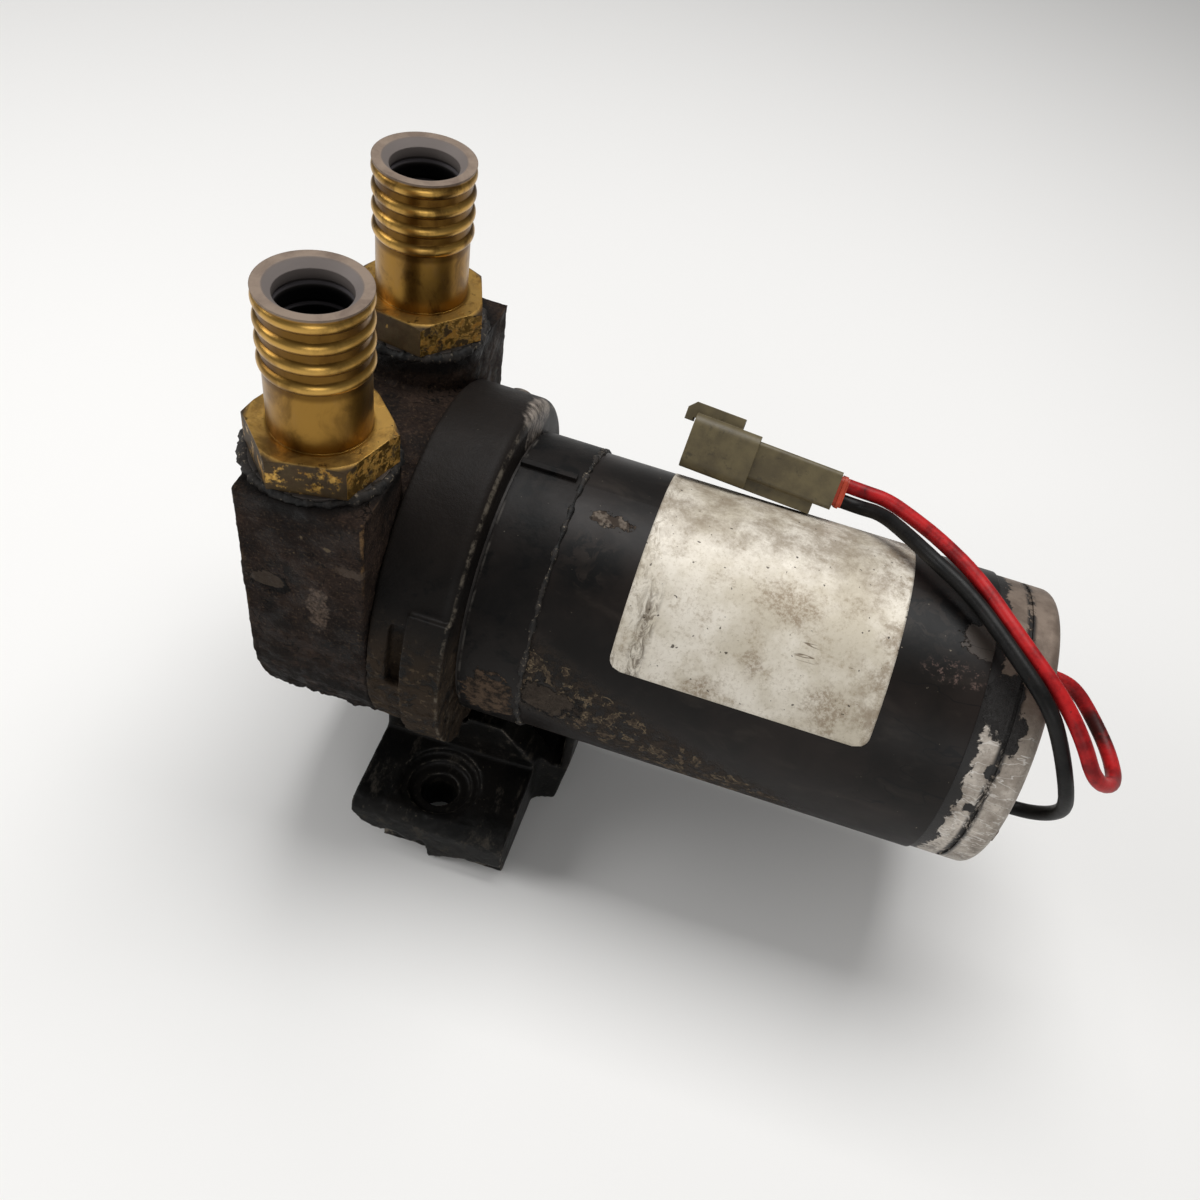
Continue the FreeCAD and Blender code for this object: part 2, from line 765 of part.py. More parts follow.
def make_seal_housing():
    """Disc between head and motor, with side lugs, shaft seal pocket and relief valve bore."""
    centre = s.axis_height
    shaft_clear = s.pump_shaft_radius + s.soft_gap
    seal_pocket = s.shaft_seal_radius + s.seat_gap
    disc = turned([
        (ZERO, shaft_clear),
        (ZERO, s.disc_radius),
        (s.disc_width, s.disc_radius),
        (s.disc_width, seal_pocket),
        (s.disc_width - s.shaft_seal_width, seal_pocket),
        (s.disc_width - s.shaft_seal_width, shaft_clear),
    ], head_rear, name="DiscBlank")
    document.recompute()
    rim = circle_edges(disc.Tip.Shape, s.disc_radius.value, s.disc_width.value)
    dress_body(disc, "Fillet", "Radius", s.disc_round, rim)

    lug_front = disc_rear - s.lug_width
    ring = cylinder(s.lug_radius, s.lug_width, (lug_front, 0, centre), "+X")
    near_side = document.addObject("Part::Feature", "LugSector")
    near_side.Shape = sector(s.lug_radius.value, s.lug_width.value, lug_front.value,
                             s.lug_start_angle.value, s.lug_sweep_angle.value)
    seal_clear = cylinder(s.disc_radius / 2, s.lug_width, (lug_front, 0, centre), "+X")
    lug = cut(common(ring, near_side), [seal_clear])
    housing = fuse([disc, lug])

    relief_x = head_rear + s.relief_from_front
    relief_z = centre + s.relief_height
    relief_length = s.disc_radius - s.relief_seat_y
    tools = [
        cylinder(s.relief_bore_radius, relief_length, (relief_x, s.relief_seat_y, relief_z), "+Y"),
        cylinder(s.relief_seat_radius, s.relief_seat_y + s.bypass_near + s.bypass_radius,
                 (relief_x, s.relief_seat_y, relief_z), "-Y"),
    ]
    for bypass_y in (-s.bypass_near, s.bypass_far):
        tools.append(cylinder(s.bypass_radius, s.relief_from_front, (head_rear, bypass_y, relief_z), "+X"))
    slot_start = lug_front - s.slot_width
    tools.append(box((s.slot_width, s.slot_depth, s.slot_low + s.slot_high),
                     (slot_start, -s.disc_radius, centre - s.slot_low)))
    holes = document.addObject("Part::Feature", "ThreadedHoles")
    shapes = []
    for angle in SCREW_ANGLES:
        begin = on_axis(angle, s.screw_circle.value, head_rear.value)
        shapes.append(bar(s.screw_radius.value + s.seat_gap.value, s.screw_reach.value + 1, begin))
    for side in (-1, 1):
        shapes.append(foot_screw_hole(side, s.foot_screw_radius.value + s.seat_gap.value))
    holes.Shape = Part.makeCompound(shapes)
    keep("seal_housing", cut(housing, tools + [holes]))

    seal = turned([
        (ZERO, s.shaft_seal_radius),
        (s.shaft_seal_width - s.seat_gap, s.shaft_seal_radius),
        (s.shaft_seal_width - s.seat_gap, s.shaft_seal_radius - s.shaft_seal_case),
        (s.shaft_seal_web, s.shaft_seal_radius - s.shaft_seal_case),
        (s.shaft_seal_web, s.pump_shaft_radius + s.shaft_seal_lip),
        (s.shaft_seal_lip_end, s.pump_shaft_radius + s.shaft_seal_lip),
        (s.shaft_seal_lip_end, s.pump_shaft_radius + s.run_gap),
        (s.shaft_seal_lip_edge, s.pump_shaft_radius + s.run_gap),
        (ZERO, s.pump_shaft_radius + s.shaft_seal_lip / 2),
    ], disc_rear - s.shaft_seal_width)
    keep("shaft_seal", seal)
    make_relief_valve(relief_x, relief_z)


def make_relief_valve(x, z):
    """Poppet, spring and plug of the bypass, along +Y."""
    clear = s.relief_bore_radius - s.run_gap
    shoulder = s.relief_seat_y + s.relief_nose_length
    body_length = s.relief_poppet_length - s.relief_nose_length
    guide = cylinder(clear, body_length, (x, shoulder, z), "+Y")
    flats = box((s.relief_flats, body_length, s.relief_flats),
                (x - s.relief_flats / 2, shoulder, z - s.relief_flats / 2))
    nose = document.addObject("Part::Cone", "Nose")
    bind(nose, "Radius1", s.relief_seat_radius - 0.4)
    bind(nose, "Radius2", s.relief_flats / 2)
    bind(nose, "Height", s.relief_nose_length - s.run_gap)
    place(nose, x, s.relief_seat_y + s.run_gap, z, ALONG["+Y"])
    pocket_floor = shoulder + 1
    pocket_depth = body_length - 1
    post_radius = s.relief_spring_radius - s.relief_spring_wire - s.soft_gap
    around = cylinder(s.relief_bore_radius, pocket_depth, (x, pocket_floor, z), "+Y")
    post = cylinder(post_radius, pocket_depth, (x, pocket_floor, z), "+Y")
    keep("relief_poppet", cut(fuse([common(guide, flats), nose]), [cut(around, [post])]))

    plug_outer = s.disc_radius - s.relief_plug_inset
    plug_inner = plug_outer - s.relief_plug_length
    plug = cylinder(s.relief_bore_radius - s.seat_gap, s.relief_plug_length, (x, plug_inner, z), "+Y")
    socket = document.addObject("Part::Feature", "PlugSocket")
    mouth = Vector(x.value, plug_outer.value, z.value)
    socket.Shape = prism(s.relief_plug_hex.value, s.relief_plug_length.value / 2, mouth, Vector(0, -1, 0))
    keep("relief_plug", cut(plug, [socket]))

    spring_start = pocket_floor + s.seat_gap
    spring_length = plug_inner - s.seat_gap - spring_start
    outer = cylinder(s.relief_spring_radius, spring_length, (x, spring_start, z), "+Y")
    inner = cylinder(s.relief_spring_radius - s.relief_spring_wire, spring_length, (x, spring_start, z), "+Y")
    keep("relief_spring", cut(outer, [inner]))


def foot_screw_hole(side, radius):
    """Space of one screw that holds the foot to the disc from below."""
    x = head_rear.value + s.disc_width.value / 2
    start = Vector(x, side * s.foot_screw_spread.value, s.foot_top_wall.value)
    return bar(radius, s.foot_screw_length.value + s.foot_height.value, start, Vector(0, 0, 1))


def make_motor_body():
    """Joint gasket, front bell, tube, magnets and end cap."""
    centre = s.axis_height
    gasket = turned([
        (ZERO, s.joint_gasket_radius - s.joint_gasket_width),
        (ZERO, s.joint_gasket_radius),
        (s.joint_gasket, s.joint_gasket_radius),
        (s.joint_gasket, s.joint_gasket_radius - s.joint_gasket_width),
    ], disc_rear)
    keep("motor_gasket", gasket)

    spigot = tube_bore - s.seat_gap
    seat = s.front_bearing_radius + s.seat_gap
    hub = s.front_bearing_radius + s.bell_hub_wall
    wall = s.bell_wall
    bell = turned([
        (ZERO, s.pump_shaft_radius + 2.0),
        (ZERO, s.bell_radius),
        (s.bell_width, s.bell_radius),
        (s.bell_width, spigot),
        (s.bell_width + s.spigot_length, spigot),
        (s.bell_width + s.spigot_length, spigot - s.spigot_wall),
        (wall, spigot - s.spigot_wall),
        (wall, hub),
        (wall + s.bearing_width - 1, hub),
        (wall + s.bearing_width - 1, seat),
        (wall - 1, seat),
        (wall - 1, s.pump_shaft_radius + 2.0),
    ], bell_front, name="BellBlank")
    rib = box((s.bell_width - 1.5, s.rib_width, s.rib_height + 1),
              (bell_front, -s.rib_width / 2, centre + s.bell_radius - 1))
    holes = document.addObject("Part::Feature", "BellBoltHoles")
    shapes = []
    for angle in (0, 180):
        start = on_axis(angle, s.bolt_circle.value, bell_front.value + 1)
        length = s.bell_width.value + s.spigot_length.value
        shapes.append(bar(s.bolt_radius.value + s.seat_gap.value, length, start))
    holes.Shape = Part.makeCompound(shapes)
    pads = document.addObject("Part::Feature", "BellBoltPads")
    pad_shapes = []
    for angle in (0, 180):
        start = on_axis(angle, s.bolt_circle.value - 1.5, bell_front.value + wall.value - 1)
        pad_shapes.append(bar(s.bell_bolt_pad.value, s.bell_bolt_pad_length.value, start))
    pads.Shape = Part.makeCompound(pad_shapes)
    within = cylinder(spigot - 0.5, s.bell_width, (bell_front, 0, centre), "+X")
    keep("motor_front_bell", cut(fuse([bell, rib, common(pads, within)]), [holes]))

    tube = turned([
        (ZERO, tube_bore),
        (ZERO, s.tube_radius),
        (tube_length, s.tube_radius),
        (tube_length, tube_bore),
    ], bell_rear)
    keep("motor_tube", tube)
    make_magnets()
    make_end_cap(spigot)


def make_magnets():
    """Two field magnets, lying above and below the armature."""
    start = bell_rear.value + s.magnet_from_bell.value
    outer = tube_bore.value - s.seat_gap.value
    inner = outer - s.magnet_thickness.value
    shapes = []
    for middle in (90, 270):
        begin = on_axis(0, 0, start)
        ring = bar(outer, s.magnet_length.value, begin).cut(bar(inner, s.magnet_length.value, begin))
        sweep = s.magnet_angle.value
        shapes.append(ring.common(sector(outer, s.magnet_length.value, start, middle - sweep / 2, sweep)))
    group("field_magnets", shapes)


def make_end_cap(spigot):
    """Cast end cap with rounded rear rim, bearing pocket, bolt and lead holes."""
    long = s.cap_length
    inside = long - s.cap_wall
    seat = s.rear_bearing_radius + s.seat_gap
    hub = s.rear_bearing_radius + s.cap_hub_wall
    hub_front = inside - s.bearing_width - s.wave_washer
    groove = s.cap_groove_from_front
    floor = s.cap_radius - s.cap_groove_depth
    cap = turned([
        (long, ZERO),
        (long, s.cap_radius),
        (groove + s.cap_groove_width, s.cap_radius),
        (groove + s.cap_groove_width, floor),
        (groove, floor),
        (groove, s.cap_radius),
        (ZERO, s.cap_radius),
        (ZERO, spigot),
        (-s.spigot_length, spigot),
        (-s.spigot_length, spigot - s.spigot_wall),
        (inside, spigot - s.spigot_wall),
        (inside, hub),
        (hub_front, hub),
        (hub_front, seat),
        (inside, seat),
        (inside, ZERO),
    ], tube_rear, name="CapBlank")
    document.recompute()
    rim = circle_edges(cap.Tip.Shape, s.cap_radius.value, s.cap_length.value)
    dress_body(cap, "Fillet", "Radius", s.cap_round, rim)
    holes = document.addObject("Part::Feature", "CapHoles")
    shapes = []
    sink = s.bolt_head_height.value
    for angle in (0, 180):
        start = on_axis(angle, s.bolt_circle.value, tube_rear.value - s.spigot_length.value)
        length = s.cap_length.value + s.spigot_length.value
        shapes.append(bar(s.bolt_radius.value + 0.25, length, start))
        mouth = on_axis(angle, s.bolt_circle.value, cap_rear.value - sink)
        shapes.append(bar(s.bolt_head_radius.value + 0.3, sink, mouth))
    for angle in (s.red_grommet_angle.value, s.black_grommet_angle.value):
        start = on_axis(angle, s.grommet_circle.value, tube_rear.value + inside.value)
        shapes.append(bar(s.grommet_radius.value, s.cap_wall.value, start))
    holes.Shape = joined(shapes)
    keep("motor_end_cap", cut(cap, [holes]))

    bolts = []
    for angle in (0, 180):
        tip = on_axis(angle, s.bolt_circle.value, bell_front.value + 3)
        crown = on_axis(angle, s.bolt_circle.value, cap_rear.value - sink)
        shank = bar(s.bolt_radius.value, crown.x - tip.x, tip)
        cap_head = prism(s.bolt_head_radius.value * math.sqrt(3) - 0.2, sink, crown)
        bolts.append(shank.fuse(cap_head).removeSplitter())
    group("through_bolts", bolts)

    grommets = []
    for angle in (s.red_grommet_angle.value, s.black_grommet_angle.value):
        start = on_axis(angle, s.grommet_circle.value, tube_rear.value + inside.value)
        face = on_axis(angle, s.grommet_circle.value, cap_rear.value)
        sleeve = bar(s.grommet_radius.value, s.cap_wall.value, start)
        flange = bar(s.grommet_flange.value, s.grommet_lip.value, face)
        body = sleeve.fuse(flange).removeSplitter()
        lip_edges = []
        for edge in body.Edges:
            round_edge = isinstance(edge.Curve, Part.Circle)
            if round_edge and abs(edge.Curve.Center.x - face.x - s.grommet_lip.value) < 1e-4:
                lip_edges.append(edge)
        grommets.append(body.makeFillet(s.grommet_lip.value / 2, lip_edges))
    group("lead_grommets", grommets)


def make_bearing(name, outer, inner, x):
    """Ball bearing: outer ring, inner ring and its balls."""
    gap = s.run_gap
    width = s.bearing_width - s.seat_gap * 2
    start = x + s.seat_gap
    centre = s.axis_height
    pitch = (outer + inner) / 2
    groove_radius = s.ball_radius + gap
    parts = {}
    for ring, low, high in (("inner", inner, inner + s.bearing_ring), ("outer", outer - s.bearing_ring, outer)):
        solid = cylinder(high, width, (start, 0, centre), "+X")
        bore = cylinder(low, width, (start, 0, centre), "+X")
        groove = document.addObject("Part::Torus", "Race")
        bind(groove, "Radius1", pitch)
        bind(groove, "Radius2", groove_radius)
        place(groove, start + width / 2, 0, centre, ALONG["+X"])
        parts[ring] = keep("%s_bearing_%s_ring" % (name, ring), cut(solid, [bore, groove]))
    balls = []
    count = int(s.ball_count.value)
    for index in range(count):
        point = on_axis(360.0 * index / count, pitch.value, start.value + width.value / 2)
        balls.append(Part.makeSphere(s.ball_radius.value, point))
    group("%s_bearing_balls" % name, balls)


def make_armature():
    """Shaft, laminated core, coils, commutator and the two bearings."""
    centre = s.axis_height
    front_seat = bell_front + s.bell_wall - 1
    rear_seat = tube_rear + s.cap_length - s.cap_wall - s.bearing_width
    make_bearing("front", s.front_bearing_radius, s.pump_shaft_radius, front_seat)
    make_bearing("rear", s.rear_bearing_radius, s.rear_journal_radius, rear_seat - s.wave_washer)

    washer = turned([
        (ZERO, s.rear_bearing_radius - 3),
        (ZERO, s.rear_bearing_radius - 0.3),
        (s.wave_washer - s.seat_gap, s.rear_bearing_radius - 0.3),
        (s.wave_washer - s.seat_gap, s.rear_bearing_radius - 3),
    ], rear_seat + s.bearing_width - s.wave_washer)
    keep("bearing_preload_washer", washer)

    tip = head_front + s.cover_thickness - s.bush_length + 0.5
    shoulder = front_seat + s.bearing_width
    rear_shoulder = rear_seat - s.wave_washer
    end = rear_seat + s.bearing_width - s.wave_washer - 0.5
    shaft = turned([
        (tip, ZERO),
        (tip, s.pump_shaft_radius),
        (shoulder, s.pump_shaft_radius),
        (shoulder, s.motor_shaft_radius),
        (rear_shoulder, s.motor_shaft_radius),
        (rear_shoulder, s.rear_journal_radius),
        (end, s.rear_journal_radius),
        (end, ZERO),
    ], name="ShaftBlank")
    key_seat = box(
        (s.key_length, s.key_width, s.key_height),
        (
            chamber_front + (s.chamber_width - s.key_length) / 2,
            -s.key_width / 2,
            centre + s.pump_shaft_radius - s.key_height / 2,
        ),
    )
    keep("motor_shaft", cut(shaft, [key_seat]))

    outline = core_outline(s.core_radius.value, s.slot_floor.value, s.slot_opening.value)
    blank = outline.extrude(Vector(s.core_length.value, 0, 0))
    hole = bar(s.motor_shaft_radius.value, s.core_length.value, Vector(0, 0, 0))
    core = document.addObject("Part::Feature", "armature_core")
    core.Shape = blank.cut(hole)
    place(core, core_start, 0, centre)
    keep("armature_core", core)
    make_coils()

    body = cylinder(s.commutator_radius, s.commutator_length, (commutator_start, 0, centre), "+X")
    bore = cylinder(s.motor_shaft_radius, s.commutator_length, (commutator_start, 0, centre), "+X")
    grooves = document.addObject("Part::Feature", "CommutatorGrooves")
    slits = []
    for index in range(int(s.core_slots.value)):
        slit = Part.makeBox(s.commutator_length.value, s.commutator_groove.value, 2.0)
        slit.translate(Vector(commutator_start.value, -s.commutator_groove.value / 2, s.commutator_radius.value - 1))
        slit.rotate(Vector(0, 0, 0), Vector(1, 0, 0), 360.0 * index / s.core_slots.value)
        slit.translate(Vector(0, 0, centre.value))
        slits.append(slit)
    grooves.Shape = Part.makeCompound(slits)
    keep("commutator", cut(body, [bore, grooves]))
    make_brush_gear()


def core_outline(radius, floor, opening):
    """Face of one lamination: teeth between open winding slots."""
    count = int(s.core_slots.value)
    disc = Part.Face(Part.Wire(Part.makeCircle(radius, Vector(0, 0, 0), Vector(1, 0, 0))))
    slots = []
    for index in range(count):
        turn = 360.0 * index / count
        wide = 2 * math.pi * (floor + radius) / 2 / count * 0.5
        corners = [
            Vector(0, -opening / 2, radius + 1),
            Vector(0, -opening / 2, radius - 2),
            Vector(0, -wide / 2, radius - 4),
            Vector(0, -opening / 2, floor),
            Vector(0, opening / 2, floor),
            Vector(0, wide / 2, radius - 4),
            Vector(0, opening / 2, radius - 2),
            Vector(0, opening / 2, radius + 1),
        ]
        face = Part.Face(Part.makePolygon(corners + corners[:1]))
        face.rotate(Vector(0, 0, 0), Vector(1, 0, 0), turn)
        slots.append(face)
    return disc.cut(slots)


def make_coils():
    """Coils: wound sides in the slots and rounded heads at both ends."""
    count = int(s.core_slots.value)
    gap = s.seat_gap.value
    floor = s.slot_floor.value + gap
    top = s.coil_radius.value
    side = s.slot_opening.value - 2 * gap
    length = s.core_length.value
    over = s.coil_overhang.value
    solid = None
    for start, way in ((0.0, -1), (length, 1)):
        outward = Vector(way, 0, 0)
        head_start = outward * gap + Vector(start, 0, 0)
        crown_start = head_start + outward * (over / 2)
        crown = Part.makeCone(top, top - over / 2, over / 2, crown_start, outward)
        ring = bar(top, over / 2, head_start, outward).fuse(crown)
        ring = ring.cut(bar(s.motor_shaft_radius.value + gap, over + 1, head_start, outward))
        solid = ring if solid is None else solid.fuse(ring)
    for index in range(count):
        strip = Part.makeBox(length + 2 * gap + 2, side, top - 1 - floor)
        strip.translate(Vector(-gap - 1, -side / 2, floor))
        strip.rotate(Vector(0, 0, 0), Vector(1, 0, 0), 360.0 * index / count)
        solid = solid.fuse(strip)
    coils = document.addObject("Part::Feature", "armature_coils")
    coils.Shape = solid.removeSplitter()
    place(coils, core_start, 0, s.axis_height)
    keep("armature_coils", coils)


def make_brush_gear():
    """Brush card with two holders, two brushes and their springs."""
    centre = s.axis_height
    middle = commutator_start + s.commutator_length / 2
    card_face = middle + s.brush_width / 2 + s.holder_wall
    wide = s.brush_thickness + s.holder_wall * 2
    card = cylinder(s.brush_card_radius, s.brush_card_thickness, (card_face, 0, centre), "+X")
    bore = cylinder(s.brush_card_bore, s.brush_card_thickness, (card_face, 0, centre), "+X")
    holder_inner = s.commutator_radius + 2
    holder_outer = tube_bore - 3
    parts = [card]
    cuts = [bore]
    gap = s.seat_gap
    for side in (-1, 1):
        reach = holder_outer - holder_inner
        low = centre + holder_inner if side > 0 else centre - holder_outer
        size = (s.brush_width + s.holder_wall * 2, wide, reach)
        parts.append(box(size, (middle - s.brush_width / 2 - s.holder_wall, -wide / 2, low)))
        opening = (s.brush_width + gap * 2, s.brush_thickness + gap * 2, reach - s.holder_wall)
        start = centre + holder_inner if side > 0 else centre - holder_outer + s.holder_wall
        corner = (middle - s.brush_width / 2 - gap, -s.brush_thickness / 2 - gap, start)
        cuts.append(box(opening, corner))
    holes = document.addObject("Part::Feature", "CardClearances")
    shapes = []
    for angle in (0, 180):
        start = on_axis(angle, s.bolt_circle.value, card_face.value)
        shapes.append(bar(s.bolt_radius.value + 0.5, s.brush_card_thickness.value, start))
    holes.Shape = Part.makeCompound(shapes)
    keep("brush_card", cut(fuse(parts), cuts + [holes]))

    brushes = []
    springs = []
    face = s.commutator_radius.value + s.run_gap.value
    for side in (-1, 1):
        block = Part.makeBox(s.brush_width.value, s.brush_thickness.value, s.brush_length.value + 1.0)
        block.translate(Vector(middle.value - s.brush_width.value / 2, -s.brush_thickness.value / 2, face - 1.0))
        round_face = bar(face, s.brush_width.value * 2, Vector(middle.value - s.brush_width.value, 0, 0))
        block = block.cut(round_face)
        start = face + s.brush_length.value
        length = holder_outer.value - s.holder_wall.value - start
        radius = s.brush_spring_radius.value
        coil = bar(radius, length, Vector(middle.value, 0, start), Vector(0, 0, 1))
        hollow = radius - s.brush_spring_wire.value
        coil = coil.cut(bar(hollow, length, Vector(middle.value, 0, start), Vector(0, 0, 1)))
        for shape, store in ((block, brushes), (coil, springs)):
            if side < 0:
                shape = shape.mirror(Vector(0, 0, 0), Vector(0, 0, 1))
            shape.translate(Vector(0, 0, centre.value))
            store.append(shape)
    group("brushes", brushes)
    group("brush_springs", springs)


def make_hose_tail(name, side, turn):
    """Brass hose tail: ridged spigot, hexagon and threaded stem, with its washer."""
    washer_top = s.washer_thickness
    hex_low = washer_top
    top = s.tail_top - s.head_top
    points = [
        (s.tail_bore_radius, -s.tail_stem_length),
        (s.tail_stem_radius, -s.tail_stem_length),
        (s.tail_stem_radius, hex_low),
        (s.hex_across_flats / 2 - 1, hex_low),
        (s.hex_across_flats / 2 - 1, hex_low + s.hex_height),
        (s.tail_plain_radius, hex_low + s.hex_height),
    ]
    count = int(s.ridge_count.value)
    points.append((s.tail_plain_radius, top - s.ridge_first))
    points.append((s.tail_rim_radius, top))
    points.append((s.tail_mouth_radius, top))
    points.append((s.tail_bore_radius, top - s.tail_mouth_depth))
    for index in range(count - 1):
        middle = top - s.ridge_first - s.ridge_pitch * (index + 0.5)
        points.append((s.tail_bore_radius, middle + s.bore_ring_half_width))
        points.append((s.tail_bore_radius + s.bore_ring_depth, middle))
        points.append((s.tail_bore_radius, middle - s.bore_ring_half_width))
    body = document.addObject("PartDesign::Body", "TailBlank")
    sketch = new_sketch(body, "XZ_Plane")
    draw_polygon(sketch, points)
    spin = body.newObject("PartDesign::Revolution", "Turn")
    spin.Profile = sketch
    spin.ReferenceAxis = (sketch, ["V_Axis"])
    spin.Angle = 360
    body.Tip = spin
    place(body, port_x, s.port_half_pitch * side, head_crest)

    radius = s.hex_across_flats.value / math.sqrt(3)
    hexagon = document.addObject("Part::Feature", "Hexagon")
    blank = prism(s.hex_across_flats.value, s.hex_height.value, Vector(0, 0, 0), Vector(0, 0, 1), turn)
    crown_low = radius * 0.985
    drop = s.hex_chamfer.value
    cone = Part.makeCone(crown_low + 3 * drop, crown_low - drop * 0.9, 2.3 * drop + 0.3,
                         Vector(0, 0, s.hex_height.value - 2.3 * drop - 0.3 + 0.001))
    column = bar(radius + 2, s.hex_height.value - 2.3 * drop - 0.3 + 0.001, Vector(0, 0, 0), Vector(0, 0, 1))
    blank = blank.common(column.fuse(cone))
    bore = bar(s.tail_plain_radius.value - 0.5, s.hex_height.value, Vector(0, 0, 0), Vector(0, 0, 1))
    hexagon.Shape = blank.cut(bore)
    place(hexagon, port_x, s.port_half_pitch * side, head_crest + hex_low)
    ridges = []
    for index in range(count):
        ridge = document.addObject("Part::Torus", "Ridge")
        bind(ridge, "Radius1", s.ridge_radius - s.ridge_half_height)
        bind(ridge, "Radius2", s.ridge_half_height)
        middle = top - s.ridge_first - s.ridge_pitch * index
        ridges.append(place(ridge, port_x, s.port_half_pitch * side, head_crest + middle))
    keep(name + "_hose_tail", fuse([body, hexagon] + ridges))

    outer = cylinder(s.washer_radius, s.washer_thickness, (port_x, s.port_half_pitch * side, head_crest))
    inner = cylinder(s.tail_stem_radius + s.seat_gap, s.washer_thickness,
                     (port_x, s.port_half_pitch * side, head_crest))
    keep(name + "_sealing_washer", cut(outer, [inner]))


def make_foot():
    """Moulded foot: open underneath with ribs, two holed lobes and a saddle for the disc."""
    centre = s.axis_height
    high = s.foot_height
    lobe_length = s.foot_front + s.foot_lobe_rear
    half = s.saddle_half_width
    saddle_top = centre - s.saddle_below_axis
    flat_end = s.foot_half_length - s.foot_round - 0.5
    lobes = box((lobe_length, s.foot_half_length * 2, high), (-s.foot_front, -s.foot_half_length, 0))

    def outer_lip(edge):
        span = edge.BoundBox
        at_end = abs(abs(span.YMin) - s.foot_half_length.value) < 1e-4 and span.YLength < 1e-4
        return at_end and abs(span.ZMin - high.value) < 1e-4 and span.ZLength < 1e-4

    lobes = soften(lobes, s.foot_round, outer_lip)
    slope = padded([
        (-flat_end, high - 1),
        (-flat_end, high),
        (-half, s.saddle_foot),
        (half, s.saddle_foot),
        (flat_end, high),
        (flat_end, high - 1),
    ], lobe_length)
    place(slope, -s.foot_front, 0, 0)
    middle_top = high - 0.5
    end_top = centre - s.bell_radius + 8
    lean_end = s.foot_middle_rear + s.end_lean
    middle = padded([
        (-s.foot_front, ZERO),
        (s.foot_middle_rear, ZERO),
        (lean_end, s.saddle_foot),
        (lean_end, end_top),
        (lean_end - s.end_wall, end_top),
        (lean_end - s.end_wall, middle_top),
        (-s.foot_front, middle_top),
    ], s.foot_middle_half * 2, "XZ_Plane")
    place(middle, 0, s.foot_middle_half, 0)
    wall = padded([
        (-s.foot_front, ZERO),
        (-s.foot_front, saddle_top),
        (s.saddle_level_end, saddle_top),
        (s.saddle_slope_end, s.saddle_slope_low),
        (s.saddle_slope_end, ZERO),
    ], half * 2, "XZ_Plane")
    place(wall, 0, half, 0)
    corner = s.foot_lobe_rear - 0.4
    edge_points = [
        (s.saddle_level_end, half),
        (corner, half - 0.6),
        (corner + 0.3, s.foot_middle_half + 3.6),
        (corner + 1.3, s.foot_middle_half + 2.2),
        (corner + 2.8, s.foot_middle_half + 1.4),
        (s.saddle_slope_end + 0.5, s.foot_middle_half + 0.2),
    ]
    near_edge = [(x, -y) for x, y in edge_points]
    far_edge = list(reversed(edge_points))
    plan = padded([(-s.foot_front, -half)] + near_edge + far_edge + [(-s.foot_front, half)], centre, "XY_Plane")
    whole = fuse([lobes, slope, middle, common(wall, plan)])
    gap = s.soft_gap
    ring_depth = s.foot_sink_depth
    tools = [
        cylinder(s.disc_radius + s.seat_gap, s.disc_width, (head_rear, 0, centre), "+X"),
        cylinder(s.head_half_span + gap, s.head_width, (head_front, 0, centre), "+X"),
        cylinder(s.bell_radius + gap, s.bell_width * 2, (disc_rear, 0, centre), "+X"),
        box((lean_end - s.end_wall - s.trough_start, s.trough_half * 2, centre),
            (s.trough_start, -s.trough_half, s.trough_floor)),
    ]
    tools += foot_hollows(high)
    for side in (-1, 1):
        hole_y = s.foot_hole_half_pitch * side
        tools.append(cylinder(s.foot_hole_radius, high, (0, hole_y, 0)))
        tools.append(cylinder(s.foot_sink_radius, ring_depth * 4, (0, hole_y, high - ring_depth)))
        tools.append(cylinder(s.foot_boss_radius, ring_depth * 4, (0, hole_y, high - s.soft_gap)))
    tools.append(broken_skirt())
    holes = document.addObject("Part::Feature", "FootScrewHoles")
    shapes = []
    for side in (-1, 1):
        wide_hole = foot_screw_hole(side, s.foot_screw_radius.value + 0.3)
        start = Vector(head_rear.value + s.disc_width.value / 2, side * s.foot_screw_spread.value, 0)
        access_length = s.foot_top_wall.value + s.foot_screw_head_height.value
        access = bar(s.foot_screw_head_radius.value + 1, access_length, start, Vector(0, 0, 1))
        shapes += [wide_hole, access]
    holes.Shape = joined(shapes)
    keep("mounting_foot", cut(whole, tools + [holes]))

    screws = []
    upward = Vector(0, 0, 1)
    head = s.foot_screw_head_height.value
    for side in (-1, 1):
        x = head_rear.value + s.disc_width.value / 2
        under = Vector(x, side * s.foot_screw_spread.value, s.foot_top_wall.value)
        seat = under + upward * head
        crown = bar(s.foot_screw_head_radius.value, head, under, upward)
        shank = bar(s.foot_screw_radius.value, s.foot_screw_length.value + s.foot_height.value - head - 0.5,
                    seat, upward)
        socket = prism(s.foot_screw_hex.value, head / 2, under, upward)
        screws.append(shank.fuse(crown).removeSplitter().cut(socket))
    group("foot_screws", screws)


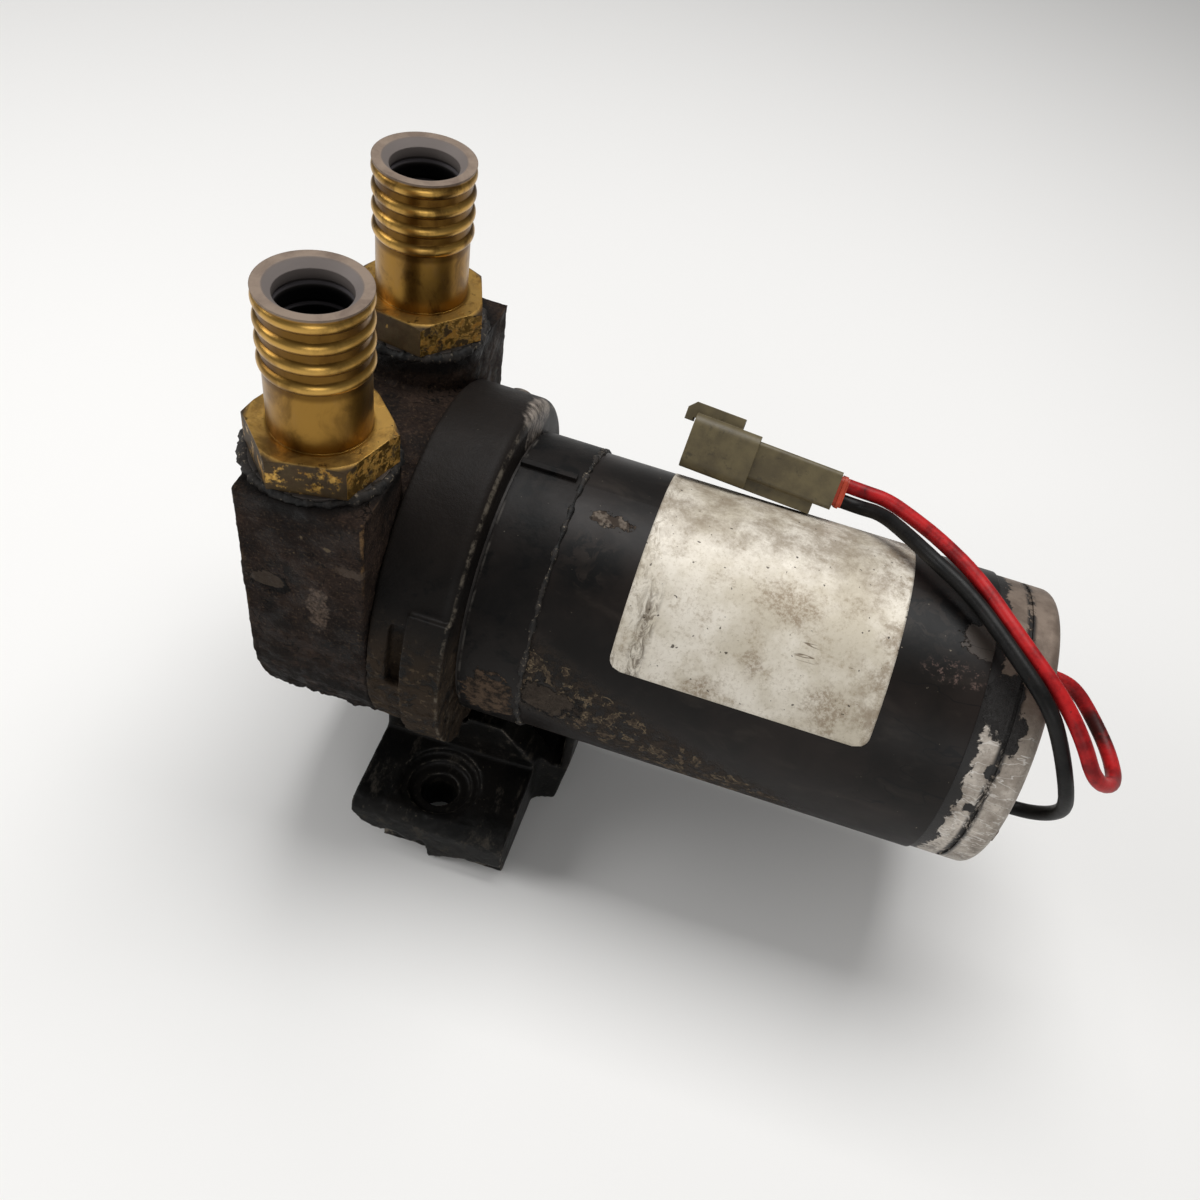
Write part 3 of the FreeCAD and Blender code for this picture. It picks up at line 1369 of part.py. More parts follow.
def foot_hollows(high):
    """Moulding pockets under the foot, between its walls, ribs and hole bosses."""
    pockets = document.addObject("Part::Feature", "FootPockets")
    wall = s.foot_wall.value
    rib = s.foot_rib.value
    front = -s.foot_front.value + wall
    rear = s.foot_lobe_rear.value - wall
    end = s.foot_half_length.value - wall
    deep = high.value - s.foot_top_wall.value
    middle = s.foot_hole_half_pitch.value - s.foot_boss_radius.value
    columns = 3
    rows = 3
    length = (rear - front - rib * (columns - 1)) / columns
    width = (middle - rib / 2 - rib * (rows - 1)) / rows
    cells = []
    for side in (-1, 1):
        for column in range(columns):
            x = front + column * (length + rib)
            for line in range(rows):
                y = rib / 2 + line * (width + rib)
                cell = Part.makeBox(length, width, deep)
                cell.translate(Vector(x, y if side > 0 else -y - width, 0))
                cells.append(cell)
    for side in (-1, 1):
        for way in (-1, 1):
            inner = s.foot_boss_radius.value
            edge = front if way < 0 else rear
            start = edge if way < 0 else inner * 0.62
            stop = -inner * 0.62 if way < 0 else edge
            low = middle + rib
            cell = Part.makeBox(stop - start, end - low, deep)
            cell.translate(Vector(start, low if side > 0 else -end, 0))
            boss = bar(inner, deep, Vector(0, side * s.foot_hole_half_pitch.value, 0), Vector(0, 0, 1))
            cells.append(cell.cut(boss))
    screw_posts = []
    for side in (-1, 1):
        x = head_rear.value + s.disc_width.value / 2
        start = Vector(x, side * s.foot_screw_spread.value, 0)
        screw_posts.append(bar(s.foot_screw_radius.value + s.foot_post_wall.value, high.value, start, Vector(0, 0, 1)))
    pockets.Shape = Part.makeCompound(cells).cut(screw_posts)
    return [pockets]


# The torn lower edge of the near skirt, in shares of the lobe's length and height
BROKEN_EDGE = [(0.0, 0.68), (0.07, 0.46), (0.20, 0.38), (0.28, 0.47), (0.40, 0.30), (0.48, 0.46), (0.52, 0.02),
               (0.74, 0.28), (1.02, 0.40), (1.04, 0.52)]


def broken_skirt():
    """The near lobe's skirt is broken off along its lower edge."""
    loss = document.addObject("Part::Feature", "BrokenEdge")
    front = s.foot_front.value
    long = front + s.foot_lobe_rear.value
    high = s.foot_height.value
    outside = -s.foot_half_length.value - 0.5
    corners = [Vector(share * long - front, 0, level * high) for share, level in BROKEN_EDGE]
    left, right = corners[0], corners[-1]
    before = [Vector(left.x - 1.5, 0, -1), Vector(left.x - 1.5, 0, left.z)]
    after = [Vector(right.x + 1.5, 0, right.z), Vector(right.x + 1.5, 0, -1)]
    outline = before + corners + after
    face = Part.Face(Part.makePolygon(outline + outline[:1]))
    face.translate(Vector(0, outside, 0))
    corner_loss = Part.makeBox(front * 0.44, front * 0.36, high * 0.39, Vector(-front - 1, outside, -1))
    loss.Shape = joined([face.extrude(Vector(0, s.foot_wall.value + 0.2, 0)), corner_loss])
    return loss


def make_label():
    """Bare foil plate wrapped round the motor tube."""
    inner = s.tube_radius.value + 0.02
    outer = inner + s.label_thickness.value
    start = on_axis(0, 0, s.label_front.value)
    ring = bar(outer, s.label_length.value, start).cut(bar(inner, s.label_length.value, start))
    wedge = sector(outer, s.label_length.value, start.x, s.label_start_angle.value, s.label_sweep_angle.value)
    label = document.addObject("Part::Feature", "rating_label")
    label.Shape = ring.common(wedge)
    keep("rating_label", label)


def plug_placement():
    """Place of the connector: rolled to lie on the tube, nose slightly up."""
    roll = math.radians(s.plug_roll_angle.value)
    outward = Vector(0, math.cos(roll), math.sin(roll))
    base = Vector(s.plug_front.value, 0, s.axis_height.value) + outward * s.plug_stand_off.value
    rolled = FreeCAD.Rotation(Vector(1, 0, 0), s.plug_roll_angle.value - 90)
    pitched = FreeCAD.Rotation(Vector(0, 1, 0), s.plug_pitch_angle.value)
    return FreeCAD.Placement(base, rolled * pitched)


def make_connector():
    """Two-way plug: housing with shroud and latch, wedge, pins and wire seal."""
    wall = s.shroud_wall
    inside = s.shroud_width - wall * 2
    shroud = rounded_block(s.shroud_length, s.shroud_width, s.shroud_height, ZERO, ZERO, s.shroud_round)
    barrel = rounded_block(s.barrel_length + 1, s.barrel_width, s.barrel_height,
                           s.shroud_length - 1, s.barrel_low, as_size(1.2))
    lip = box((s.lip_length + 1, s.lip_width, s.barrel_low + 1), (s.shroud_length - 1, -s.lip_width / 2, 0))
    latch = padded([
        (-s.latch_overhang, s.shroud_height - s.latch_sink),
        (-s.latch_overhang, s.shroud_height + s.latch_height - 2),
        (-s.latch_overhang + 2, s.shroud_height + s.latch_height),
        (s.latch_length - s.latch_overhang, s.shroud_height + s.latch_height),
        (s.latch_length - s.latch_overhang, s.shroud_height - 1),
        (ZERO, s.shroud_height - 1),
        (ZERO, s.shroud_height - s.latch_sink),
    ], s.latch_width, "XZ_Plane")
    place(latch, 0, s.latch_width / 2, 0)
    window = box((as_size(5), s.latch_width - 2.4, s.latch_height - 1.2),
                 (s.latch_length - s.latch_overhang - 4, -(s.latch_width - 2.4) / 2, s.shroud_height + 0.2))
    cavity = rounded_block(s.shroud_depth + 1, inside, s.shroud_height - wall * 2, as_size(-1), wall,
                           s.shroud_round - wall)
    pin_level = s.wire_level
    bores = []
    for side in (-1, 1):
        bores.append(cylinder(s.pin_radius + s.seat_gap, s.shroud_length + s.barrel_length,
                              (s.shroud_depth - 1, 0, pin_level + s.pin_half_pitch * side), "+X"))
    seal_pocket = box((as_size(6), s.seal_width + 0.1, s.seal_height + 0.1),
                      (s.shroud_length + s.barrel_length - 4, -(s.seal_width + 0.1) / 2,
                       pin_level - (s.seal_height + 0.1) / 2))
    housing = cut(fuse([shroud, barrel, lip, latch]), [cavity, window, seal_pocket] + bores)
    seat_on_tube("connector_housing", housing)

    room = s.soft_gap * 2
    wedge_front = s.shroud_depth - s.wedge_length - s.seat_gap
    wedge = rounded_block(s.wedge_length, inside - room, s.shroud_height - wall * 2 - room, wedge_front,
                          wall + s.soft_gap, s.shroud_round - wall)
    holes = []
    for side in (-1, 1):
        holes.append(cylinder(s.pin_radius + 0.3, s.wedge_length + 1,
                              (s.shroud_depth - s.wedge_length - 0.5, 0, pin_level + s.pin_half_pitch * side),
                              "+X"))
    seat_on_tube("connector_wedge", cut(wedge, holes))

    pins = []
    for side in (-1, 1):
        start = Vector(s.shroud_depth.value - s.pin_length.value, 0, (pin_level + s.pin_half_pitch * side).value)
        length = s.pin_length.value + s.shroud_length.value - s.shroud_depth.value + s.barrel_length.value - 4
        pins.append(bar(s.pin_radius.value, length, start))
    pin_pair = document.addObject("Part::Feature", "PinPair")
    pin_pair.Shape = Part.makeCompound(pins)
    seat_on_tube("connector_pins", pin_pair)

    start = s.shroud_length + s.barrel_length - 4
    blocks = [rounded_block(s.seal_length + 4, s.seal_width - 0.8, s.seal_height - 0.8, start,
                            pin_level - s.seal_height / 2 + 0.4, as_size(1.5))]
    for index in range(3):
        blocks.append(rounded_block(as_size(0.9), s.seal_width, s.seal_height, start + 1.2 + index * 1.9,
                                    pin_level - s.seal_height / 2, as_size(1.8)))
    seat_on_tube("connector_seal", fuse(blocks))


def rounded_block(length, width, height, x, z, radius):
    """A block along X with its four long edges rounded."""
    block = box((length, width, height), (x, -width / 2, z))
    return soften(block, radius, lambda edge: edge.BoundBox.YLength < 1e-6 and edge.BoundBox.ZLength < 1e-6)


def seat_on_tube(name, feature):
    """Move a connector piece from its own frame to its place on the tube."""
    document.recompute()
    piece = document.addObject("Part::Feature", name)
    piece.Shape = feature.Shape.copy()
    piece.Placement = plug_placement().multiply(piece.Placement)
    keep(name, piece)


# Hand-chosen points of the two leads, from the connector to the end cap
BLACK_ROUTE = [
    (97.6, 24.2, 116.3),
    (103.6, 16.2, 119.4),
    (111.4, 6.0, 122.4),
    (123.2, -2.5, 121.6),
    (134.3, -14.5, 119.8),
    (146.0, -25.6, 116.1),
    (153.0, -27.4, 106.2),
    (159.1, -30.3, 95.7),
    (163.4, -28.7, 85.6),
    (163.6, -25.2, 77.6),
    (160.6, -22.3, 71.7),
]
RED_ROUTE = [
    (98.4, 29.6, 117.0),
    (105.4, 23.9, 118.4),
    (113.4, 15.9, 120.5),
    (123.9, 4.6, 121.9),
    (135.3, -9.8, 120.7),
    (148.6, -21.2, 116.4),
    (156.9, -26.9, 110.0),
    (164.5, -30.4, 99.9),
    (172.7, -23.9, 93.8),
    (171.8, -12.0, 92.1),
    (166.2, -3.0, 94.0),
    (160.6, 1.6, 97.0),
]


def lead_ends(side, angle):
    """Where a lead leaves the seal and meets its grommet, each with the end of its straight run-out."""
    local = Vector(
        s.shroud_length.value + s.barrel_length.value + s.seal_length.value,
        0,
        s.wire_level.value + side * s.pin_half_pitch.value,
    )
    run_out = Vector(s.lead_run_out.value, 0, 0)
    begin = plug_placement().multVec(local)
    clear_of_seal = plug_placement().multVec(local + run_out)
    end = on_axis(angle, s.grommet_circle.value, cap_rear.value + s.grommet_lip.value)
    return [begin, clear_of_seal], [end + run_out, end]


def smooth_path(points):
    """Straight runs joined by tangent arcs; also returns the arc radii."""
    edges = []
    radii = []
    start = points[0]
    for before, corner, after in zip(points, points[1:], points[2:]):
        into = (corner - before).normalize()
        out = (after - corner).normalize()
        half = into.getAngle(out) / 2
        setback = 0.45 * min((corner - before).Length, (after - corner).Length)
        radius = setback / math.tan(half)
        radii.append(radius)
        first = corner - into * setback
        last = corner + out * setback
        inward = (out - into).normalize()
        middle = corner + inward * (radius / math.cos(half) - radius)
        edges.append(Part.LineSegment(start, first).toShape())
        edges.append(Part.Arc(first, middle, last).toShape())
        start = last
    edges.append(Part.LineSegment(start, points[-1]).toShape())
    return Part.Wire(edges), radii


def make_lead(name, route, side, angle):
    """One lead from the connector's seal to the end cap, as a plain tube."""
    first, last = lead_ends(side, angle)
    points = first + [Vector(*point) for point in route] + last
    path, radii = smooth_path(points)
    start_way = (points[1] - points[0]).normalize()
    section = Part.Wire(Part.makeCircle(s.lead_radius.value, points[0], start_way))
    tube = path.makePipeShell([section], True, False)
    ideal = math.pi * s.lead_radius.value ** 2 * path.Length
    print("%s length %.1f, volume %.4f of section times length, radii %s"
          % (name, path.Length, tube.Volume / ideal, " ".join("%.1f" % radius for radius in radii)))
    for point in first + last:
        print("%s end run %.2f %.2f %.2f" % (name, point.x, point.y, point.z))
    lead = document.addObject("Part::Feature", name)
    lead.Shape = tube
    keep(name, lead)


def make_everything():
    make_pump_head()
    make_front_cover()
    make_chamber()
    make_seal_housing()
    make_motor_body()
    make_armature()
    make_hose_tail("near", -1, s.near_hex_angle.value)
    make_hose_tail("far", 1, s.far_hex_angle.value)
    make_foot()
    make_label()
    make_connector()
    make_lead("black_lead", BLACK_ROUTE, -1, s.black_grommet_angle.value)
    make_lead("red_lead", RED_ROUTE, 1, s.red_grommet_angle.value)


def check_and_export():
    """Stop on any failed feature, then write one file per node."""
    document.recompute()
    for feature in document.Objects:
        if "Invalid" in feature.State or "Error" in feature.State:
            raise RuntimeError("failed feature: %s (%s)" % (feature.Label, feature.State))
    for name, feature in nodes.items():
        shape = feature.Shape
        if shape.isNull() or not shape.isValid() or not shape.Solids:
            raise RuntimeError("bad shape: " + name)
    os.makedirs("parts", exist_ok=True)
    for name, feature in nodes.items():
        feature.Shape.exportStep("parts/%s.step" % name)
    print("%d nodes written" % len(nodes))


make_everything()
check_and_export()
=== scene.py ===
import json
import math

import bmesh
import bpy
from mathutils import Euler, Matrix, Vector, noise


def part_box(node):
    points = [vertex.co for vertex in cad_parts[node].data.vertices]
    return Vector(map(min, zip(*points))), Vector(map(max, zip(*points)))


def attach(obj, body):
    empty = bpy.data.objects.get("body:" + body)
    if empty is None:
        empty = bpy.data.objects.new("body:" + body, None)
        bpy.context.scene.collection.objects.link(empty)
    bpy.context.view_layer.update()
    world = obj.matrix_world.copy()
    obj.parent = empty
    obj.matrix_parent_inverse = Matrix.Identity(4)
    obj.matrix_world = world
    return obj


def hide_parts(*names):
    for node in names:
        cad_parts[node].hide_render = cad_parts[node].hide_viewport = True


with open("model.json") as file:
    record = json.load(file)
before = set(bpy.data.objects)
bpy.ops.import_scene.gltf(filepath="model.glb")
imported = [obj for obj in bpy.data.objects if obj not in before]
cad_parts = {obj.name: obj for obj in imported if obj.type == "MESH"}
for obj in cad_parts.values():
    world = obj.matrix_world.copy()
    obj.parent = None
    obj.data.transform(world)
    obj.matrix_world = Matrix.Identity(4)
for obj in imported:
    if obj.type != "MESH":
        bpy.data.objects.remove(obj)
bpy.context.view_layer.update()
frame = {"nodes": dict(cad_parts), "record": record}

MM = 0.001
X, Y, Z = 0, 1, 2
# The sockets of a mix node that carry colours
MIX_FIRST, MIX_SECOND, MIX_RESULT = 6, 7, 2

# Places that the frame gives
HEAD_LOW, HEAD_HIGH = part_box("pump_head")
DISC_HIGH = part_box("seal_housing")[1]
BELL_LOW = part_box("motor_front_bell")[0]
TUBE_LOW, TUBE_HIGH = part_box("motor_tube")
LABEL_LOW, LABEL_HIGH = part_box("rating_label")
TAIL_LOW, TAIL_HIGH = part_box("near_hose_tail")
FAR_TAIL_LOW, FAR_TAIL_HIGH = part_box("far_hose_tail")

TUBE_RADIUS = (TUBE_HIGH.y - TUBE_LOW.y) / 2
AXIS_HEIGHT = (TUBE_HIGH.z + TUBE_LOW.z) / 2
PORT_X = (TAIL_LOW.x + TAIL_HIGH.x) / 2
PORT_Y = (FAR_TAIL_LOW.y + FAR_TAIL_HIGH.y) / 2

# Openings that wear leaves plain, the end cap's groove and the hose tails, in metres
HEAD_MOUTH_RADIUS = 0.0375
DISC_MOUTH_RADIUS = 0.0395
PORT_RADIUS = 0.0118
CAP_GROOVE = TUBE_HIGH.x + 0.0085
HEX_TOP = TAIL_LOW.z + 0.0248
RIDGES_START = TAIL_LOW.z + 0.0385
STEM_RADIUS = 0.0121
CREST_RADIUS = 0.0129
BORE_RADIUS = 0.0100
BORE_RINGS = (0.0053, 0.0105, 0.0157)

# Camera, from the photo's perspective
CAMERA_PLACE = (0.06327, -0.22268, 0.32053)
CAMERA_TURN = (40.959, -9.289, 15.317)
CAMERA_LENS = 35.013
CAMERA_SHIFT = (-0.0363, 0.0222)
SENSOR_WIDTH = 36.0
NEAREST, FARTHEST = 0.01, 20.0

# Studio: the lamps' name, place, aim, size in metres and power in watts
WORLD_LIGHT = 0.225
LAMPS = (
    ("overhead", (0.05, 0.25, 0.95), (0.05, 0.0, 0.08), (0.7, 0.5), 7.2),
    ("left", (-0.75, -0.25, 0.55), (0.0, 0.0, 0.08), (0.4, 0.4), 2.6),
    ("front", (0.35, -0.85, 0.35), (0.05, 0.0, 0.06), (0.5, 0.35), 1.5),
)
FLOOR_SIZE = 6.0
FLOOR_DROP = 0.0002

# Leads, from the connector's seal to the end cap's grommets, in metres
LEAD_DIAMETER = 0.004
BLACK_ROUTE = (
    (0.08660, 0.02845, 0.11291),
    (0.09159, 0.02826, 0.11267),
    (0.0976, 0.0242, 0.1163),
    (0.1036, 0.0162, 0.1194),
    (0.1114, 0.0060, 0.1224),
    (0.1232, -0.0025, 0.1216),
    (0.1343, -0.0145, 0.1198),
    (0.1460, -0.0256, 0.1161),
    (0.1530, -0.0274, 0.1062),
    (0.1591, -0.0303, 0.0957),
    (0.1634, -0.0287, 0.0856),
    (0.1636, -0.0252, 0.0776),
    (0.1606, -0.0223, 0.0717),
    (0.1555, -0.02067, 0.06898),
    (0.1505, -0.02067, 0.06898),
)
RED_ROUTE = (
    (0.08687, 0.03115, 0.11637),
    (0.09186, 0.03096, 0.11613),
    (0.0984, 0.0296, 0.1170),
    (0.1054, 0.0239, 0.1184),
    (0.1134, 0.0159, 0.1205),
    (0.1239, 0.0046, 0.1219),
    (0.1353, -0.0098, 0.1207),
    (0.1486, -0.0212, 0.1164),
    (0.1569, -0.0269, 0.1100),
    (0.1645, -0.0304, 0.0999),
    (0.1727, -0.0239, 0.0938),
    (0.1718, -0.0120, 0.0921),
    (0.1662, -0.0030, 0.0940),
    (0.1606, 0.0016, 0.0970),
    (0.1555, 0.0023, 0.09838),
    (0.1505, 0.0023, 0.09838),
)

# Worn pieces, plate and sealant, in metres
HEAD_VOXEL = 0.0006
DISC_VOXEL = 0.00055
FOOT_VOXEL = 0.0006
HEAD_PROUD = (0.0009, 0.0, 0.0016)
LABEL_THICKNESS = 0.00015
LABEL_LIFT = 0.00002
LABEL_CORNER = 0.0035
BEAD_LIFT = 0.0001
BELL_BEAD = 0.00078
PORT_BEAD = 0.0013
PORT_BEAD_RADIUS = 0.0171


# Node materials

def tone(red, green, blue):
    """A colour given as it looks on a screen, 0 to 255, as linear light."""
    light = []
    for part in (red, green, blue):
        share = part / 255
        light.append(share / 12.92 if share < 0.04045 else ((share + 0.055) / 1.055) ** 2.4)
    return (*light, 1.0)


class Finish:
    """A node material whose patterns lie in the object's own frame and are sized in millimetres."""

    def __init__(self, name, metallic=0.0, specular=0.5, coat=0.0, coat_roughness=0.1):
        self.material = bpy.data.materials.new(name)
        self.material.use_nodes = True
        self.tree = self.material.node_tree
        self.shader = self.tree.nodes["Principled BSDF"]
        self.shader.inputs["Metallic"].default_value = metallic
        self.shader.inputs["Specular IOR Level"].default_value = specular
        self.shader.inputs["Coat Weight"].default_value = coat
        self.shader.inputs["Coat Roughness"].default_value = coat_roughness
        self.place = self.node("ShaderNodeTexCoord").outputs["Object"]
        self.base = (0, 0, 0)

    def node(self, kind, **settings):
        made = self.tree.nodes.new(kind)
        for name, value in settings.items():
            setattr(made, name, value)
        return made

    def feed(self, socket, value):
        """Links a socket to another node's output, or sets it; a tuple is a colour as on a screen."""
        if isinstance(value, bpy.types.NodeSocket):
            self.tree.links.new(value, socket)
        else:
            socket.default_value = tone(*value) if isinstance(value, tuple) else value

    def scaled(self, size, stretch, seed):
        """The place in units of size millimetres, shifted by seed."""
        mapping = self.node("ShaderNodeMapping")
        self.feed(mapping.inputs["Vector"], self.place)
        mapping.inputs["Scale"].default_value = [part / (size * MM) for part in stretch]
        mapping.inputs["Location"].default_value = (seed, seed * 1.7, seed * 0.6)
        return mapping.outputs["Vector"]

    def noise(self, size, detail=4.0, roughness=0.6, distortion=0.0, stretch=(1, 1, 1), seed=0.0):
        """Cloudy noise from 0 to 1, whose largest shapes are about size millimetres."""
        made = self.node("ShaderNodeTexNoise")
        self.feed(made.inputs["Vector"], self.scaled(size, stretch, seed))
        made.inputs["Scale"].default_value = 1.0
        made.inputs["Detail"].default_value = detail
        made.inputs["Roughness"].default_value = roughness
        made.inputs["Distortion"].default_value = distortion
        return made.outputs["Factor" if "Factor" in made.outputs else "Fac"]

    def hairs(self, size, width, stretch=(1, 1, 1), seed=0.0, distortion=0.0):
        """1 on thin wandering lines, which are width wide in shares of the noise."""
        wave = self.noise(size, detail=3, roughness=0.5, distortion=distortion, stretch=stretch,
                          seed=seed)
        return self.step(self.maths("ABSOLUTE", self.less(wave, 0.5)), width, width * 0.3)

    def outlined(self, value, level, width):
        """Ragged islands where value is above a level, and the thin outlines round them."""
        islands = self.step(value, level, level + 0.01)
        off = self.maths("ABSOLUTE", self.less(value, level + 0.01))
        return islands, self.step(off, width, width * 0.3)

    def maths(self, operation, first, second=0.0, clamp=False):
        made = self.node("ShaderNodeMath", operation=operation, use_clamp=clamp)
        self.feed(made.inputs[0], first)
        self.feed(made.inputs[1], second)
        return made.outputs[0]

    def plus(self, first, second, clamp=False):
        return self.maths("ADD", first, second, clamp)

    def less(self, first, second):
        return self.maths("SUBTRACT", first, second)

    def times(self, first, second):
        return self.maths("MULTIPLY", first, second)

    def step(self, value, start, end):
        """Rises smoothly from 0 to 1 as value goes from start to end."""
        made = self.node("ShaderNodeMapRange", interpolation_type="SMOOTHSTEP")
        self.feed(made.inputs["Value"], value)
        made.inputs["From Min"].default_value = min(start, end)
        made.inputs["From Max"].default_value = max(start, end)
        made.inputs["To Min"].default_value = 0.0 if start < end else 1.0
        made.inputs["To Max"].default_value = 1.0 if start < end else 0.0
        return made.outputs["Result"]

    def blots(self, start, end, size, **kind):
        """1 in the cloudy islands of a noise, as step gives it."""
        return self.step(self.noise(size, **kind), start, end)

    def past(self, axis, start, end):
        """Rises smoothly from 0 to 1 between two places along one axis, in metres."""
        return self.step(self.along(axis), start, end)

    def between(self, share, low, high):
        """A value that goes from low to high as share goes from 0 to 1."""
        made = self.node("ShaderNodeMapRange")
        self.feed(made.inputs["Value"], share)
        made.inputs["To Min"].default_value = low
        made.inputs["To Max"].default_value = high
        return made.outputs["Result"]

    def mix(self, share, first, second):
        """The first colour where share is 0, the second where it is 1."""
        made = self.node("ShaderNodeMix", data_type="RGBA")
        self.feed(made.inputs[0], share)
        self.feed(made.inputs[MIX_FIRST], first)
        self.feed(made.inputs[MIX_SECOND], second)
        return made.outputs[MIX_RESULT]

    def along(self, axis):
        """The place along one axis of the object's frame, in metres."""
        made = self.node("ShaderNodeSeparateXYZ")
        self.feed(made.inputs[0], self.place)
        return made.outputs[axis]

    def distance(self, centre, stretch=(1, 1, 1)):
        """How far each place is from a point, in metres, with axes weighed by stretch."""
        shift = self.node("ShaderNodeVectorMath", operation="SUBTRACT")
        self.feed(shift.inputs[0], self.place)
        shift.inputs[1].default_value = centre
        weigh = self.node("ShaderNodeVectorMath", operation="MULTIPLY")
        self.feed(weigh.inputs[0], shift.outputs[0])
        weigh.inputs[1].default_value = stretch
        length = self.node("ShaderNodeVectorMath", operation="LENGTH")
        self.feed(length.inputs[0], weigh.outputs[0])
        return length.outputs["Value"]

    def off_upright(self, x, y):
        """How far each place is from an upright line, in metres."""
        return self.distance((x, y, 0), (1, 1, 0))

    def patch(self, centre, reach, ragged=0.5, size=3.0, stretch=(1, 1, 1), seed=0.0, soft=0.12):
        """1 inside a blot round a point, 0 outside it; centre, reach and size are in millimetres.

        Ragged is how far its outline wanders, in shares of reach, and size how large its bays are."""
        away = self.distance([part * MM for part in centre], stretch)
        # the noise strays about a quarter from its middle, which the 4 makes up for
        wobble = self.less(self.noise(size, detail=6, roughness=0.65, seed=seed), 0.5)
        away = self.plus(away, self.times(wobble, 4 * ragged * reach * MM))
        return self.step(away, reach * MM, reach * MM * (1 - soft))

    def stripe(self, axis, middle, width):
        """1 on the middle of a band across one axis, 0 from half its width away, in metres."""
        off = self.maths("ABSOLUTE", self.less(self.along(axis), middle))
        return self.step(off, width / 2, width / 6)

    def all_of(self, *shares):
        """1 where every share is 1."""
        product = shares[0]
        for share in shares[1:]:
            product = self.times(product, share)
        return product

    def any_of(self, *shares):
        """1 where any share is 1."""
        highest = shares[0]
        for share in shares[1:]:
            highest = self.maths("MAXIMUM", highest, share)
        return highest

    def over(self, under, share, colour, strength=1.0):
        """A colour laid over another where share is 1."""
        return self.mix(self.times(share, strength), under, colour)

    def lay(self, share, colour, strength=1.0):
        """Lays a colour over the finish so far, where share is 1."""
        self.base = self.over(self.base, share, colour, strength)

    def facing(self, axis):
        """The part of the surface's direction along one axis, from -1 to 1."""
        normal = self.node("ShaderNodeNewGeometry").outputs["True Normal"]
        made = self.node("ShaderNodeSeparateXYZ")
        self.feed(made.inputs[0], normal)
        return made.outputs[axis]

    def edges(self, width):
        """1 on edges and corners and 0 on open faces, within width millimetres."""
        geometry = self.node("ShaderNodeNewGeometry")
        rounded = self.node("ShaderNodeBevel", samples=6)
        rounded.inputs["Radius"].default_value = width * MM
        made = self.node("ShaderNodeVectorMath", operation="DOT_PRODUCT")
        self.feed(made.inputs[0], rounded.outputs[0])
        self.feed(made.inputs[1], geometry.outputs["True Normal"])
        return self.step(made.outputs["Value"], 0.995, 0.85)

    def relief(self, height, depth, round_edges=0.0):
        """Bumps of depth millimetres from a height of 0 to 1; edges look rounded by round_edges."""
        made = self.node("ShaderNodeBump")
        made.inputs["Strength"].default_value = 1.0
        made.inputs["Distance"].default_value = depth * MM
        self.feed(made.inputs["Height"], height)
        if round_edges:
            rounded = self.node("ShaderNodeBevel", samples=4)
            rounded.inputs["Radius"].default_value = round_edges * MM
            self.feed(made.inputs["Normal"], rounded.outputs[0])
        self.feed(self.shader.inputs["Normal"], made.outputs[0])

    def surface(self, rough):
        """Gives the shader the colour laid so far, and a roughness."""
        self.feed(self.shader.inputs["Base Color"], self.base)
        self.feed(self.shader.inputs["Roughness"], rough)

    def metal(self, value):
        self.feed(self.shader.inputs["Metallic"], value)


